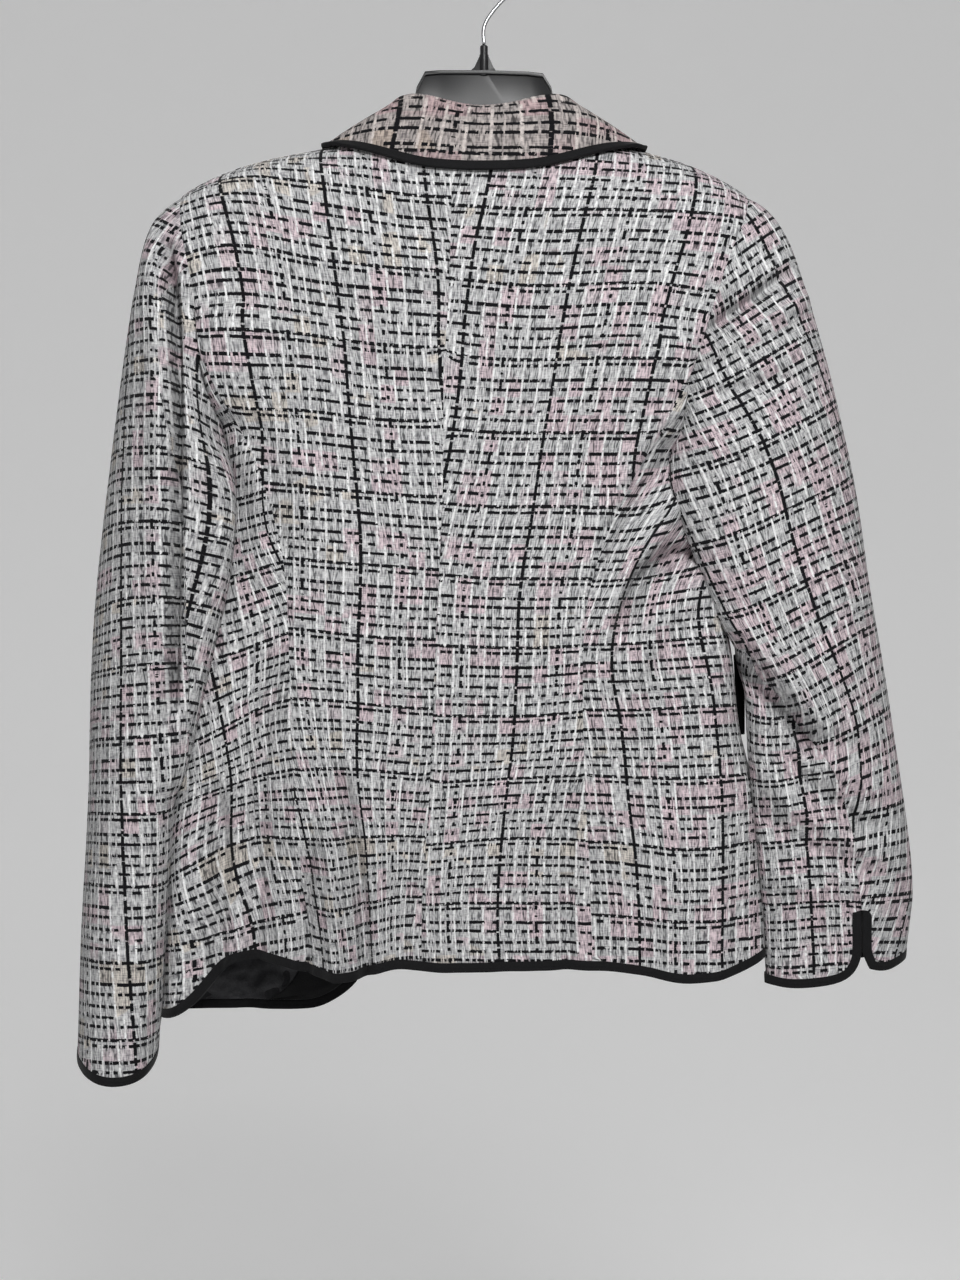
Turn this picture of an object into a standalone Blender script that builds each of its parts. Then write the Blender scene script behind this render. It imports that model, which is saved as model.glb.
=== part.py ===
"""A cropped tweed jacket hanging on a plastic hanger.

The jacket's back faces -Y, its left side (the wearer's left) is at -X, and +Z is up. The origin is the inside
top of the hanger's hook. Tables are in millimetres, everything else is in metres.
"""
import math

import bmesh
import bpy
import numpy as np

MM = 0.001

# Cloth walls and the space left at every seam.
CLOTH = 2.0 * MM
BINDING = 2.8 * MM
BINDING_WIDTH = 6.5 * MM
LINING = 1.0 * MM
COLLAR_CLOTH = 2.6 * MM
GAP = 0.3 * MM
SEAM_INSET = 0.2 * MM
PRINCESS_TIP_GAP = 0.2 * MM

# The body as a flattened tube: the seam plane of its sides, and how far back and fronts stand from it.
SIDE_SEAM_Y = 12 * MM
BACK_DEPTH = 57 * MM
FRONT_DEPTH = 33 * MM
SECTION_POWER = 3.0
ARMHOLE_DEPTH_SHARE = 0.95
ARMHOLE_FLOOR_SHARE = 0.4
SHOULDER_DROP = 130 * MM
SHOULDER_POWER = 2.2

# Heights where the armholes end, and where the princess seams leave them (left, right).
ARMPIT = (-323 * MM, -340 * MM)
PRINCESS_TOP = (-282 * MM, -297 * MM)
SHOULDER_POINT = (-164.5 * MM, -165 * MM)
WAIST = (-560 * MM, -560 * MM)

# The neck hole: half its width, and its heights at the back, at the shoulders and at the front.
NECK_HALF = 62 * MM
NECK_BACK = -137 * MM
NECK_SIDE = -122 * MM
NECK_FRONT = -185 * MM
NECK_BACK_POWER = 2.5

FRONT_CORNER_RADIUS = 28 * MM


def table(columns, *rows):
    """Named columns of a table, each as an array in metres."""
    values = np.array(rows, dtype=float) * MM
    return dict(zip(columns.split(), values.T))


BODY_SIDES = table(
    "height left right",
    (-725, -219, 193),
    (-670, -216, 193),
    (-620, -214, 189),
    (-580, -212, 186),
    (-550, -207, 181),
    (-533, -204, 174),
    (-510, -200, 171.5),
    (-480, -193.5, 170.5),
    (-455, -189, 166),
    (-430, -184, 157),
    (-390, -177, 141),
    (-350, -175.5, 128),
    (-323, -176, 130.5),
    (-297, -181.5, 132),
    (-282, -186, 140),
    (-256, -190, 149),
    (-231, -193, 156),
    (-210, -199, 163),
    (-190, -203, 172),
    (-178, -204.5, 177),
    (-164, -205, 179),
)

TOP_LINE = table(
    "x height",
    (-206, -165),
    (-191, -155.4),
    (-175, -147.6),
    (-154, -141),
    (-106, -132),
    (-62, -122),
    (0, -116),
    (62, -122),
    (107, -134),
    (129, -139.7),
    (149, -147.2),
    (165, -155.4),
    (180, -165.5),
)

BACK_HEM = table(
    "x height",
    (-220, -714),
    (-205, -711),
    (-193, -702.5),
    (-184, -686),
    (-172, -675.5),
    (-160, -672.5),
    (-147, -673.5),
    (-125, -678),
    (-109, -682),
    (-92, -685),
    (-57, -678),
    (-20, -679.4),
    (68, -677.7),
    (106, -682),
    (132, -687.8),
    (157, -685),
    (171, -679),
    (189, -670.5),
    (196, -670),
)

FRONT_HEM = table(
    "x height",
    (-220, -714),
    (-190, -715),
    (-120, -716),
    (-60, -709),
    (0, -692),
    (50, -678),
    (150, -672),
    (196, -670),
)

CENTRE_BACK = table(
    "height x",
    (-690, -41.5),
    (-650, -41.5),
    (-566, -36),
    (-480, -32.5),
    (-404, -29),
    (-358, -27),
    (-296, -27),
    (-233, -23),
    (-130, -21),
)

PRINCESS_LEFT = table(
    "height x",
    (-720, -111),
    (-677, -114.2),
    (-616, -121.7),
    (-561, -126.5),
    (-467, -130),
    (-420, -132),
    (-388, -138.7),
    (-347, -151),
    (-316, -165.2),
    (-282, -182.8),
)

PRINCESS_RIGHT = table(
    "height x",
    (-720, 73),
    (-683, 72),
    (-608, 69.4),
    (-549, 66),
    (-475, 65.3),
    (-442, 67.3),
    (-412, 75.5),
    (-384, 87),
    (-350, 103.4),
    (-330, 116.3),
    (-297, 128.6),
)

FRONT_EDGES = table(
    "height left right",
    (-715, -91, 52),
    (-500, -58, 34),
    (-300, -24, 20),
    (-180, -14, 14),
)

# The largest folds of the body. Each is a soft ridge (height above zero) or trough along a line, of a width.
# A fold whose line runs out at the hem stays open there.
FOLDS = (
    # side, x and height at its upper end, x and height at its lower end, width, height, open at the hem
    ("back", -158, -530, -152, -700, 18, -12, True),
    ("back", -194, -560, -204, -715, 12, 6, True),
    ("back", -108, -550, -92, -700, 18, 9, True),
    ("back", -58, -590, -58, -700, 20, -5, True),
    ("back", 84, -580, 92, -700, 24, -5, True),
    ("back", 128, -560, 140, -700, 22, 9, True),
    ("back", -172, -335, -125, -475, 12, -6, False),
    ("back", -150, -315, -95, -440, 18, 5, False),
    ("back", 148, -396, 90, -438, 11, -8, False),
    ("back", 136, -356, 72, -408, 14, 5, False),
    ("back", 150, -450, 96, -500, 14, 4, False),
    ("back", -190, -480, -150, -610, 14, 5, False),
    ("back", -130, -180, -25, -218, 24, 4, False),
    ("back", 115, -175, 30, -218, 24, 4, False),
    ("front", -150, -560, -140, -720, 20, -6, True),
    ("front", 120, -560, 130, -690, 22, 7, True),
    ("front", -160, -340, -95, -450, 18, 6, False),
    ("front", 125, -350, 75, -450, 18, 6, False),
)

# The largest folds of the sleeves, seen from the back. The fronts of the sleeves have the same ones, lower down.
SLEEVE_FOLDS = {
    "left": (
        # x and height at one end, x and height at the other, width, height
        (-198, -238, -238, -268, 10, -3),
        (-178, -372, -232, -350, 12, -3.5),
        (-186, -420, -250, -442, 13, -4),
        (-196, -462, -262, -452, 13, 3.5),
        (-206, -530, -266, -545, 14, -3),
    ),
    "right": (
        (150, -268, 208, -228, 9, -4),
        (152, -292, 222, -262, 11, 4),
        (182, -474, 232, -545, 10, -8),
        (196, -452, 250, -522, 13, 5),
        (180, -506, 216, -566, 12, 5),
        (196, -592, 284, -584, 9, -4),
        (200, -614, 284, -606, 9, 3.5),
    ),
}
FRONT_FOLD_DROP = 14 * MM
FRONT_FOLD_SHARE = 0.7

# One row for each section of a sleeve, from the armhole down: its inner and its outer end as seen from the
# back, half its depth, its centre's y, and how far its back half leans inwards.
LEFT_SLEEVE = table(
    "inner_x inner_z outer_x outer_z depth centre lean turn",
    (-178.5, -325, -219, -173.5, 40, -1, 1, 0),
    (-179.5, -328, -228, -187.5, 46, -3, 2, 0),
    (-180.0, -333, -233, -209, 50, -5, 4, -3),
    (-179.0, -341, -239, -241, 52, -7, 7, -8),
    (-176.5, -354, -246, -284, 53, -8, 10, -14),
    (-173.5, -374, -253, -335, 53, -9, 13, -21),
    (-174.0, -401, -260, -388, 52, -9, 15, -28),
    (-181.0, -434, -265, -433, 51, -9, 16, -37),
    (-190.0, -477, -268, -477, 49, -9, 16, -49),
    (-200.0, -526, -269.6, -526, 48, -9, 15, -67),
    (-208.0, -576, -269.8, -580, 47, -9, 13, -84),
    (-210.5, -624, -272.7, -630, 46, -9, 11, -96),
    (-213.0, -668, -274.3, -676, 46, -9, 9, -103),
    (-215.0, -706, -275, -712, 46, -9, 8, -107),
)
LEFT_CUFF = dict(inner=(-218.5, -738), outer=(-275.5, -741), depth=46, centre=-9, lean=6, turn=-110, back_drop=-14)

RIGHT_SLEEVE = table(
    "inner_x inner_z outer_x outer_z depth centre lean turn",
    (131.8, -343, 190, -170, 40, -1, 1, 0),
    (131.2, -347, 203, -185.5, 43, -3, 2, 0),
    (130.3, -352, 211.5, -206, 44, -5, 4, 0),
    (129.8, -360, 221, -236, 44, -7, 6, 0),
    (132.0, -370, 232, -274, 43, -9, 8, 0),
    (136.5, -383, 244, -323, 42, -10, 10, 0),
    (144.5, -401, 255, -376, 41, -11, 12, 0),
    (156.0, -433, 262, -433, 40, -12, 13, 0),
    (169.5, -470, 269, -470, 39, -12, 13, 0),
    (177.5, -508, 276, -515, 39, -12, 12, 0),
    (179.0, -552, 282, -556, 38, -12, 11, 0),
    (183.5, -596, 288, -598, 36, -12, 10, 0),
    (186.5, -632, 290.5, -630, 33, -12, 8, 0),
    (187.8, -646, 290, -643, 31, -12, 7, 0),
)
RIGHT_CUFF = dict(inner=(190.5, -688), outer=(286, -673), depth=30, centre=-12, lean=5, turn=0, back_drop=-7)

SLEEVE_POWER = 2.3
CAP_SHARE = 0.4
LEFT_SLEEVE_ROWS = 17
RIGHT_SLEEVE_ROWS = 19
# The vent's edges: half its width, its lower corners, and the rows of the cuff that it cuts.
VENT_HALF_WIDTH = 7.1 * MM
VENT_CORNER = 11 * MM
VENT_COLUMNS = (0, 3 * MM, 11 * MM)
VENT_LEAD_ROWS = 3
# The shares of the way from a sleeve's last section to its cuff's edge.
CUFF_ROWS = (0.04, 0.35, 0.66, 0.88, 1.0)

# Rows of the body, as shares of the way between its guide lines.
HEM_TO_WAIST = (0.0, 0.025, 0.07, 0.13, 0.22, 0.4, 0.6, 0.8)
WAIST_TO_ARMPIT = (0.0, 0.15, 0.3, 0.45, 0.6, 0.74, 0.87)
ARMPIT_TO_PRINCESS = (0.0, 0.2, 0.6)
PRINCESS_CLOSES = 0.025
PRINCESS_TO_TOP_STEPS = 6
TOP_CROWDING = 1.8

# How many columns each panel has.
SIDE_BACK_COLUMNS = 8
BACK_COLUMNS_LEFT = 8
BACK_COLUMNS_RIGHT = 10
FRONT_COLUMNS = 9
NECK_COLUMNS = 4
# Share of a sleeve's ring where its hind and fore seams leave the armhole, as heights on the armhole.
HIND_SEAM_ROW = 6
FORE_SEAM_ROW = 3

# The collar round half the neck, from its middle back to its front end: the fold's height, how far the stand
# leans in, and how far below the shoulder line the fall's edge lies.
COLLAR = table(
    "roll_height lean edge_drop",
    (-108.3, 3, 32.5),
    (-106.8, 3, 30.4),
    (-101.6, 3, 20.8),
    (-98.2, 3, 6.8),
    (-98.8, 2.5, 2.7),
    (-100.6, 2, 1.0),
    (-103, 2, 0),
    (-113, 2, 1.0),
    (-128, 2, 5),
    (-144, 2, 30),
    (-165, 1.5, 68),
    (-177, 1, 97),
)
COLLAR_TABLE_ANGLES = (0, 15, 32, 54, 66, 78, 90, 102, 114, 130, 150, 167)
COLLAR_STATIONS = (0, 11, 22, 33, 44, 54, 63, 71, 78, 84, 90, 96, 102, 109, 118, 129, 141, 154, 167)
COLLAR_EDGE_HALF = 104 * MM
COLLAR_CLEARANCE = 1.3 * MM
COLLAR_ROLL = 3.0 * MM
COLLAR_FALL_ROWS = 3
FALL_BULGE = 1.5 * MM
NECK_RADIUS_BACK = 30 * MM

# The hanger: its I section and the pairs of points that its rims pass through, from the middle outwards.
RIM_HALF = 3.6 * MM
RIM_THICK = 2.4 * MM
WEB_HALF = 1.5 * MM
ARM_HEIGHT = 15 * MM
ARM_REST = 2.9 * MM
HANGER_NECK = table(
    "top_x top_z bottom_x bottom_z",
    (0, -79.6, 0, -122),
    (30, -79.6, 26, -122),
    (40, -80.5, 37, -123),
    (45.6, -91, 42, -125),
    (49, -108, 46, -131),
    (53, -131, 49, -146),
)
HANGER_TILT = 1.3 * MM
HANGER_SHELF = -82 * MM
TIP_SHARE = 0.6
ARM_STATIONS = (67, 88, 110, 130, 148, 160)
LEFT_ARM_EXTRA = 26 * MM
BOSS_RADIUS = 3.1 * MM
BOSS_TOP = -62 * MM
BOSS_STEP = -68.5 * MM
BOSS_BOTTOM = -83 * MM
GUSSET = ((-11, -81), (-6.5, -77), (-3.0, -69.5), (3.0, -69.5), (6.5, -77), (9, -81))
GUSSET_HALF = 1.1 * MM

WIRE_RADIUS = 1.5 * MM
WIRE_SIDES = 8
HOOK_INNER_RADIUS = 17.5 * MM

POCKET_EDGE = dict(low=-531, high=-476, outer=178.5, clear=0.5, y=13.4, thick=2.6)

TWEED = dict(colour=(0.52, 0.52, 0.52, 1), roughness=0.9, metallic=0.0)
BLACK_TAPE = dict(colour=(0.012, 0.012, 0.013, 1), roughness=0.75, metallic=0.0)
SATIN = dict(colour=(0.03, 0.03, 0.033, 1), roughness=0.4, metallic=0.0)
BLACK_PLASTIC = dict(colour=(0.02, 0.02, 0.022, 1), roughness=0.35, metallic=0.0)
STEEL = dict(colour=(0.7, 0.7, 0.7, 1), roughness=0.25, metallic=1.0)


class Curve:
    """A smooth line through a table's rows that never overshoots them."""

    def __init__(self, at, value):
        order = np.argsort(at)
        self.at = np.asarray(at, dtype=float)[order]
        self.value = np.asarray(value, dtype=float)[order]
        steps = np.diff(self.at)
        slopes = np.diff(self.value) / steps
        tangents = np.zeros(len(self.at))
        tangents[0] = slopes[0]
        tangents[-1] = slopes[-1]
        for k in range(1, len(slopes)):
            if slopes[k - 1] * slopes[k] > 0:
                tangents[k] = 2 / (1 / slopes[k - 1] + 1 / slopes[k])
        self.tangents = tangents

    def __call__(self, position):
        p = np.clip(position, self.at[0], self.at[-1])
        k = np.clip(np.searchsorted(self.at, p) - 1, 0, len(self.at) - 2)
        span = self.at[k + 1] - self.at[k]
        t = (p - self.at[k]) / span
        rise = self.value[k + 1] - self.value[k]
        start = self.tangents[k] * span
        end = self.tangents[k + 1] * span
        return self.value[k] + t * start + t**2 * (3 * rise - 2 * start - end) + t**3 * (start + end - 2 * rise)


left_side = Curve(BODY_SIDES["height"], BODY_SIDES["left"])
right_side = Curve(BODY_SIDES["height"], BODY_SIDES["right"])
top_line = Curve(TOP_LINE["x"], TOP_LINE["height"])
back_hem = Curve(BACK_HEM["x"], BACK_HEM["height"])
front_hem = Curve(FRONT_HEM["x"], FRONT_HEM["height"])
centre_back = Curve(CENTRE_BACK["height"], CENTRE_BACK["x"])
princess_left = Curve(PRINCESS_LEFT["height"], PRINCESS_LEFT["x"])
princess_right = Curve(PRINCESS_RIGHT["height"], PRINCESS_RIGHT["x"])
front_edge_left = Curve(FRONT_EDGES["height"], FRONT_EDGES["left"])
front_edge_right = Curve(FRONT_EDGES["height"], FRONT_EDGES["right"])


def unit(vectors):
    """Vectors of length one."""
    vectors = np.asarray(vectors, dtype=float)
    return vectors / np.maximum(np.linalg.norm(vectors, axis=-1, keepdims=True), 1e-12)


def smooth_step(t):
    t = np.clip(t, 0, 1)
    return t * t * (3 - 2 * t)


# ---------------------------------------------------------------- the body's surface


def armhole_share(height, armpit, shoulder):
    """0 below the armpit, 1 from a little above it: how far the body's edge is open for the sleeve."""
    rise = np.clip((height - armpit) / (shoulder - armpit) / ARMHOLE_FLOOR_SHARE, 0, 1)
    return np.sqrt(1 - (1 - rise) ** 2)


def soft_fold(x, z, start, end, width, height, open_end):
    """Height of one ridge or trough at a point: it rises from its start and, unless open, falls to its end."""
    dx, dz = end[0] - start[0], end[1] - start[1]
    t = np.clip(((x - start[0]) * dx + (z - start[1]) * dz) / (dx * dx + dz * dz), 0, 1)
    away = np.hypot(x - start[0] - t * dx, z - start[1] - t * dz)
    taper = smooth_step(t / 0.5)
    if not open_end:
        taper = taper * smooth_step((1 - t) / 0.5)
    return height * taper * np.exp(-((away / width) ** 2))


def fold_height(x, z, side):
    """Sum of the soft ridges and troughs of one side of the body at a point seen from the back."""
    total = np.zeros_like(x + z)
    for of_side, x0, z0, x1, z1, width, height, open_end in FOLDS:
        if of_side == side:
            start, end = (x0 * MM, z0 * MM), (x1 * MM, z1 * MM)
            total = total + soft_fold(x, z, start, end, width * MM, height * MM, open_end)
    return total


def body_y(x, z, side):
    """Depth of the back or the fronts at a point of the outline seen from the back."""
    left, right = left_side(z), right_side(z)
    across = np.clip((x - (left + right) / 2) / ((right - left) / 2), -1, 1)
    open_left = armhole_share(z, ARMPIT[0], SHOULDER_POINT[0])
    open_right = armhole_share(z, ARMPIT[1], SHOULDER_POINT[1])
    share = np.where(across < 0, open_left, open_right) * ARMHOLE_DEPTH_SHARE
    crown = (1 - np.abs(across) ** SECTION_POWER) ** (1 / SECTION_POWER)
    depth = BACK_DEPTH if side == "back" else FRONT_DEPTH
    reach = depth * (share + (1 - share) * crown)
    below_top = np.clip(1 - (top_line(x) - z) / SHOULDER_DROP, 0, 1)
    closure = (1 - below_top**SHOULDER_POWER) ** (1 / SHOULDER_POWER)
    outwards = reach + fold_height(x, z, side) * crown
    if side == "back":
        return closure * (SIDE_SEAM_Y - outwards)
    return closure * (SIDE_SEAM_Y + outwards)


def body_normal(x, z, side):
    """Outward normal of the body's surface."""
    h = 2 * MM
    left, right = left_side(z), right_side(z)
    x_low, x_high = np.maximum(x - h, left), np.minimum(x + h, right)
    z_low, z_high = z - h, np.minimum(z + h, top_line(x))
    slope_x = (body_y(x_high, z, side) - body_y(x_low, z, side)) / (x_high - x_low)
    slope_z = (body_y(x, z_high, side) - body_y(x, z_low, side)) / (z_high - z_low)
    sign = -1.0 if side == "back" else 1.0
    return unit(np.stack([-slope_x * sign, np.full_like(slope_x, sign), -slope_z * sign], axis=-1))


def across_share(x, z):
    """Place between the body's sides, crowded towards them, from -1 at the left to 1 at the right."""
    left, right = left_side(z), right_side(z)
    across = np.clip((x - (left + right) / 2) / ((right - left) / 2), -1, 1)
    return np.interp(across, CROWDED, EVEN)


EVEN = np.linspace(-1, 1, 401)
CROWDED = 0.35 * EVEN + 0.65 * np.sin(EVEN * math.pi / 2)


def x_from_share(share, z):
    left, right = left_side(z), right_side(z)
    return (left + right) / 2 + np.interp(share, EVEN, CROWDED) * (right - left) / 2


def slanted(pair, x, z):
    """Height of a guide line that runs from a height at the left side to another at the right side."""
    left, right = left_side(z), right_side(z)
    return pair[0] + (pair[1] - pair[0]) * (x - left) / (right - left)


def neck_line(x, side):
    """Height of the neck seam, or of the shoulder line outside the neck."""
    inside = np.clip(np.abs(x) / NECK_HALF, 0, 1)
    if side == "back":
        seam = NECK_BACK + (NECK_SIDE - NECK_BACK) * inside**NECK_BACK_POWER
    else:
        seam = NECK_SIDE + (NECK_FRONT - NECK_SIDE) * np.sqrt(1 - inside**2)
    return np.where(np.abs(x) < NECK_HALF, seam, top_line(x))


def row_height(row, x, z, side):
    """Height of a row of the body's net above a place; rows are (guide below, guide above, share)."""
    guides = {
        "hem": back_hem(x) if side == "back" else front_hem(x),
        "waist": slanted(WAIST, x, z),
        "armpit": slanted(ARMPIT, x, z),
        "princess": slanted(PRINCESS_TOP, x, z),
        "top": neck_line(x, side),
    }
    below, above, share = row
    return guides[below] + (guides[above] - guides[below]) * share


ROWS = (
    [("hem", "waist", s) for s in HEM_TO_WAIST]
    + [("waist", "armpit", s) for s in WAIST_TO_ARMPIT]
    + [("armpit", "princess", s) for s in ARMPIT_TO_PRINCESS]
    + [("princess", "top", 0.0), ("princess", "top", PRINCESS_CLOSES)]
    + [
        ("princess", "top", 1 - (1 - k / PRINCESS_TO_TOP_STEPS) ** TOP_CROWDING)
        for k in range(1, PRINCESS_TO_TOP_STEPS + 1)
    ]
)
ARMPIT_ROW = len(HEM_TO_WAIST) + len(WAIST_TO_ARMPIT)
PRINCESS_ROW = ARMPIT_ROW + len(ARMPIT_TO_PRINCESS)
TOP_ROW = len(ROWS) - 1
SETTLE_STEPS = 30


def body_net(side, first_edge, second_edge, columns, rows, neck=None):
    """Points (x, z) of a panel between two seams, where they cross the body's rows.

    The neck is a column and an x: towards the top the columns draw together so that this one ends at that x.
    """
    xs = np.zeros((len(rows), columns + 1))
    zs = np.zeros_like(xs)
    even = np.linspace(0, 1, columns + 1)
    for i, row in enumerate(rows):
        z = np.full(columns + 1, row_height(row, 0.0, -400 * MM, side))
        for _ in range(SETTLE_STEPS):
            first = across_share(first_edge(z, row), z)
            second = across_share(second_edge(z, row), z)
            shares = even
            if neck and row[0] == "princess":
                at_neck = (across_share(neck[1], z) - first) / (second - first)
                before = even / even[neck[0]]
                after = (1 - even) / (1 - even[neck[0]])
                if neck[1] < 0:
                    after = np.sin(after * math.pi / 2)
                else:
                    before = np.sin(before * math.pi / 2)
                drawn = np.where(even < even[neck[0]], at_neck * before, 1 - (1 - at_neck) * after)
                shares = even + (drawn - even) * row[2]
            x = x_from_share(first + (second - first) * shares, z)
            z = (z + row_height(row, x, z, side)) / 2
        xs[i], zs[i] = x, z
    return xs, zs


def panel_from_net(xs, zs, side):
    """Outer points and normals of a panel; at a side seam or shoulder its rim lies square to the seam's plane."""
    outer = np.stack([xs, body_y(xs, zs, side), zs], axis=-1)
    normals = body_normal(xs, zs, side)
    on_side_seam = np.abs(outer[..., 1] - SIDE_SEAM_Y) < 0.1 * MM
    on_shoulder = np.abs(outer[..., 1]) < 0.1 * MM
    normals[on_side_seam | on_shoulder, 1] = 0
    return outer, unit(normals)


# ---------------------------------------------------------------- walls and strips


def inset(outer, edges=("low", "high", "first", "last"), by=SEAM_INSET):
    """Pulls a net's edges inwards, along its own surface."""
    net = outer.copy()
    if "low" in edges:
        net[0] += unit(outer[1] - outer[0]) * by
    if "high" in edges:
        net[-1] += unit(outer[-2] - outer[-1]) * by
    if "first" in edges:
        net[:, 0] += unit(outer[:, 1] - outer[:, 0]) * by
    if "last" in edges:
        net[:, -1] += unit(outer[:, -2] - outer[:, -1]) * by
    return net


def finish_of(node, look):
    """A material with one colour, roughness and metallic value."""
    material = bpy.data.materials.new(node + "_finish")
    material.use_nodes = True
    shader = material.node_tree.nodes["Principled BSDF"]
    shader.inputs["Base Color"].default_value = look["colour"]
    shader.inputs["Roughness"].default_value = look["roughness"]
    shader.inputs["Metallic"].default_value = look["metallic"]
    material.diffuse_color = look["colour"]
    return material


def add_object(node, points, faces, look, smooth=True):
    """A closed mesh object with its faces pointing out."""
    mesh = bpy.data.meshes.new(node)
    mesh.from_pydata([tuple(p) for p in points], [], faces)
    work = bmesh.new()
    work.from_mesh(mesh)
    bmesh.ops.recalc_face_normals(work, faces=work.faces)
    if work.calc_volume(signed=True) < 0:
        bmesh.ops.reverse_faces(work, faces=work.faces)
    work.to_mesh(mesh)
    work.free()
    mesh.materials.append(finish_of(node, look))
    thing = bpy.data.objects.new(node, mesh)
    bpy.context.scene.collection.objects.link(thing)
    if smooth:
        mesh.shade_smooth()
        mesh.set_sharp_from_angle(angle=math.radians(40))
    return thing


def wall(node, outer, normals, thickness, look):
    """A cloth wall: a net of outer points, the same net moved in by its thickness, and the rim between."""
    rows, columns = outer.shape[:2]
    inner = outer - normals * thickness
    points = np.concatenate([outer.reshape(-1, 3), inner.reshape(-1, 3)])
    behind = rows * columns

    def at(i, j):
        return i * columns + j

    faces = []
    for i in range(rows - 1):
        for j in range(columns - 1):
            a, b, c, d = at(i, j), at(i, j + 1), at(i + 1, j + 1), at(i + 1, j)
            faces += [(a, b, c), (a, c, d)]
            faces += [(a + behind, c + behind, b + behind), (a + behind, d + behind, c + behind)]
    rims = [(at(0, j + 1), at(0, j)) for j in range(columns - 1)]
    rims += [(at(rows - 1, j), at(rows - 1, j + 1)) for j in range(columns - 1)]
    rims += [(at(i, 0), at(i + 1, 0)) for i in range(rows - 1)]
    rims += [(at(i + 1, columns - 1), at(i, columns - 1)) for i in range(rows - 1)]
    for a, b in rims:
        # Both sides of a seam are split along the same diagonal, so that their rims stay side by side.
        if a < b:
            faces += [(a, b, b + behind), (a, b + behind, a + behind)]
        else:
            faces += [(a, b, a + behind), (b, b + behind, a + behind)]
    return add_object(node, points, faces, look)


def sweep(node, sections, look, smooth=True):
    """A closed solid through a line of sections that all have the same number of points."""
    sections = np.asarray(sections)
    stations, sides = sections.shape[:2]
    points = sections.reshape(-1, 3)
    faces = []
    for k in range(stations - 1):
        for j in range(sides):
            a, b = k * sides + j, k * sides + (j + 1) % sides
            faces += [(a, b, a + sides), (b, b + sides, a + sides)]
    faces.append(tuple(reversed(range(sides))))
    faces.append(tuple(range((stations - 1) * sides, stations * sides)))
    return add_object(node, points, faces, look, smooth)


def binding(node, edge, normals, outward_hint, square_ends=()):
    """A folded tape along an edge: edge points and normals of the cloth, and which way the edge faces.

    A square end is cut in the plane of the side seam that it meets.
    """
    along = np.gradient(edge, axis=0)
    outs = unit(np.cross(normals, along))
    if np.sum(outs * outward_hint) < 0:
        outs = -outs
    for end in square_ends:
        outs[end, 1] = 0
    lift = (BINDING - CLOTH) / 2
    sections = []
    for point, normal, out in zip(edge, normals, outs):
        near, far = point + out * GAP, point + out * (GAP + BINDING_WIDTH)
        top, bottom = normal * lift, normal * (lift - BINDING)
        sections.append([near + top, far + top, far + bottom, near + bottom])
    return sweep(node, sections, BLACK_TAPE)


# ---------------------------------------------------------------- body panels


def left_boundary(z, row):
    return left_side(z)


def right_boundary(z, row):
    return right_side(z)


def centre_line(z, row):
    return centre_back(z)


def above_princess(row):
    return row[0] == "princess" and row[2] > 0


def left_princess_or_armhole(z, row):
    return left_side(z) if above_princess(row) else princess_left(z)


def right_princess_or_armhole(z, row):
    return right_side(z) if above_princess(row) else princess_right(z)


def corner_cut(z, hem):
    """How far a front's lower corner is rounded off at a height."""
    low = np.clip(FRONT_CORNER_RADIUS - (z - hem), 0, FRONT_CORNER_RADIUS)
    return FRONT_CORNER_RADIUS - np.sqrt(FRONT_CORNER_RADIUS**2 - low**2)


def left_front_line(z, row):
    edge = front_edge_left(z)
    return edge - corner_cut(z, front_hem(edge))


def right_front_line(z, row):
    edge = front_edge_right(z)
    return edge + corner_cut(z, front_hem(edge))


def build_body():
    """The four back panels and the two fronts. Returns each panel's net for what is sewn to it."""
    lower_rows = ROWS[: PRINCESS_ROW + 1]
    plans = (
        ("side_back_left", "back", left_boundary, left_princess_or_armhole, SIDE_BACK_COLUMNS, lower_rows, None),
        ("back_centre_left", "back", left_princess_or_armhole, centre_line, BACK_COLUMNS_LEFT, ROWS, NECK_COLUMNS),
        ("back_centre_right", "back", centre_line, right_princess_or_armhole, BACK_COLUMNS_RIGHT, ROWS, NECK_COLUMNS),
        ("side_back_right", "back", right_princess_or_armhole, right_boundary, SIDE_BACK_COLUMNS, lower_rows, None),
        ("front_left", "front", left_boundary, left_front_line, FRONT_COLUMNS, ROWS, NECK_COLUMNS),
        ("front_right", "front", right_front_line, right_boundary, FRONT_COLUMNS, ROWS, NECK_COLUMNS),
    )
    panels = {}
    for node, side, first, second, columns, rows, neck_columns in plans:
        on_left = node.endswith("left")
        neck = None
        if neck_columns:
            neck = (columns - neck_columns, -NECK_HALF) if on_left else (neck_columns, NECK_HALF)
        xs, zs = body_net(side, first, second, columns, rows, neck)
        outer, normals = panel_from_net(xs, zs, side)
        outer = inset(outer, ("high", "first", "last"))
        if rows is lower_rows:
            outer = inset(outer, ("high",), PRINCESS_TIP_GAP)
        wall(node, outer, normals, CLOTH, TWEED)
        panels[node] = (outer, normals)
    return panels


def joined_edge(panels, names):
    """The hem edge of neighbouring panels, one after the other."""
    points, normals = [], []
    for name in names:
        outer, normal = panels[name]
        keep = slice(0, None) if not points else slice(1, None)
        points.extend(outer[0, keep])
        normals.extend(normal[0, keep])
    return np.array(points), np.array(normals)


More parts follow.
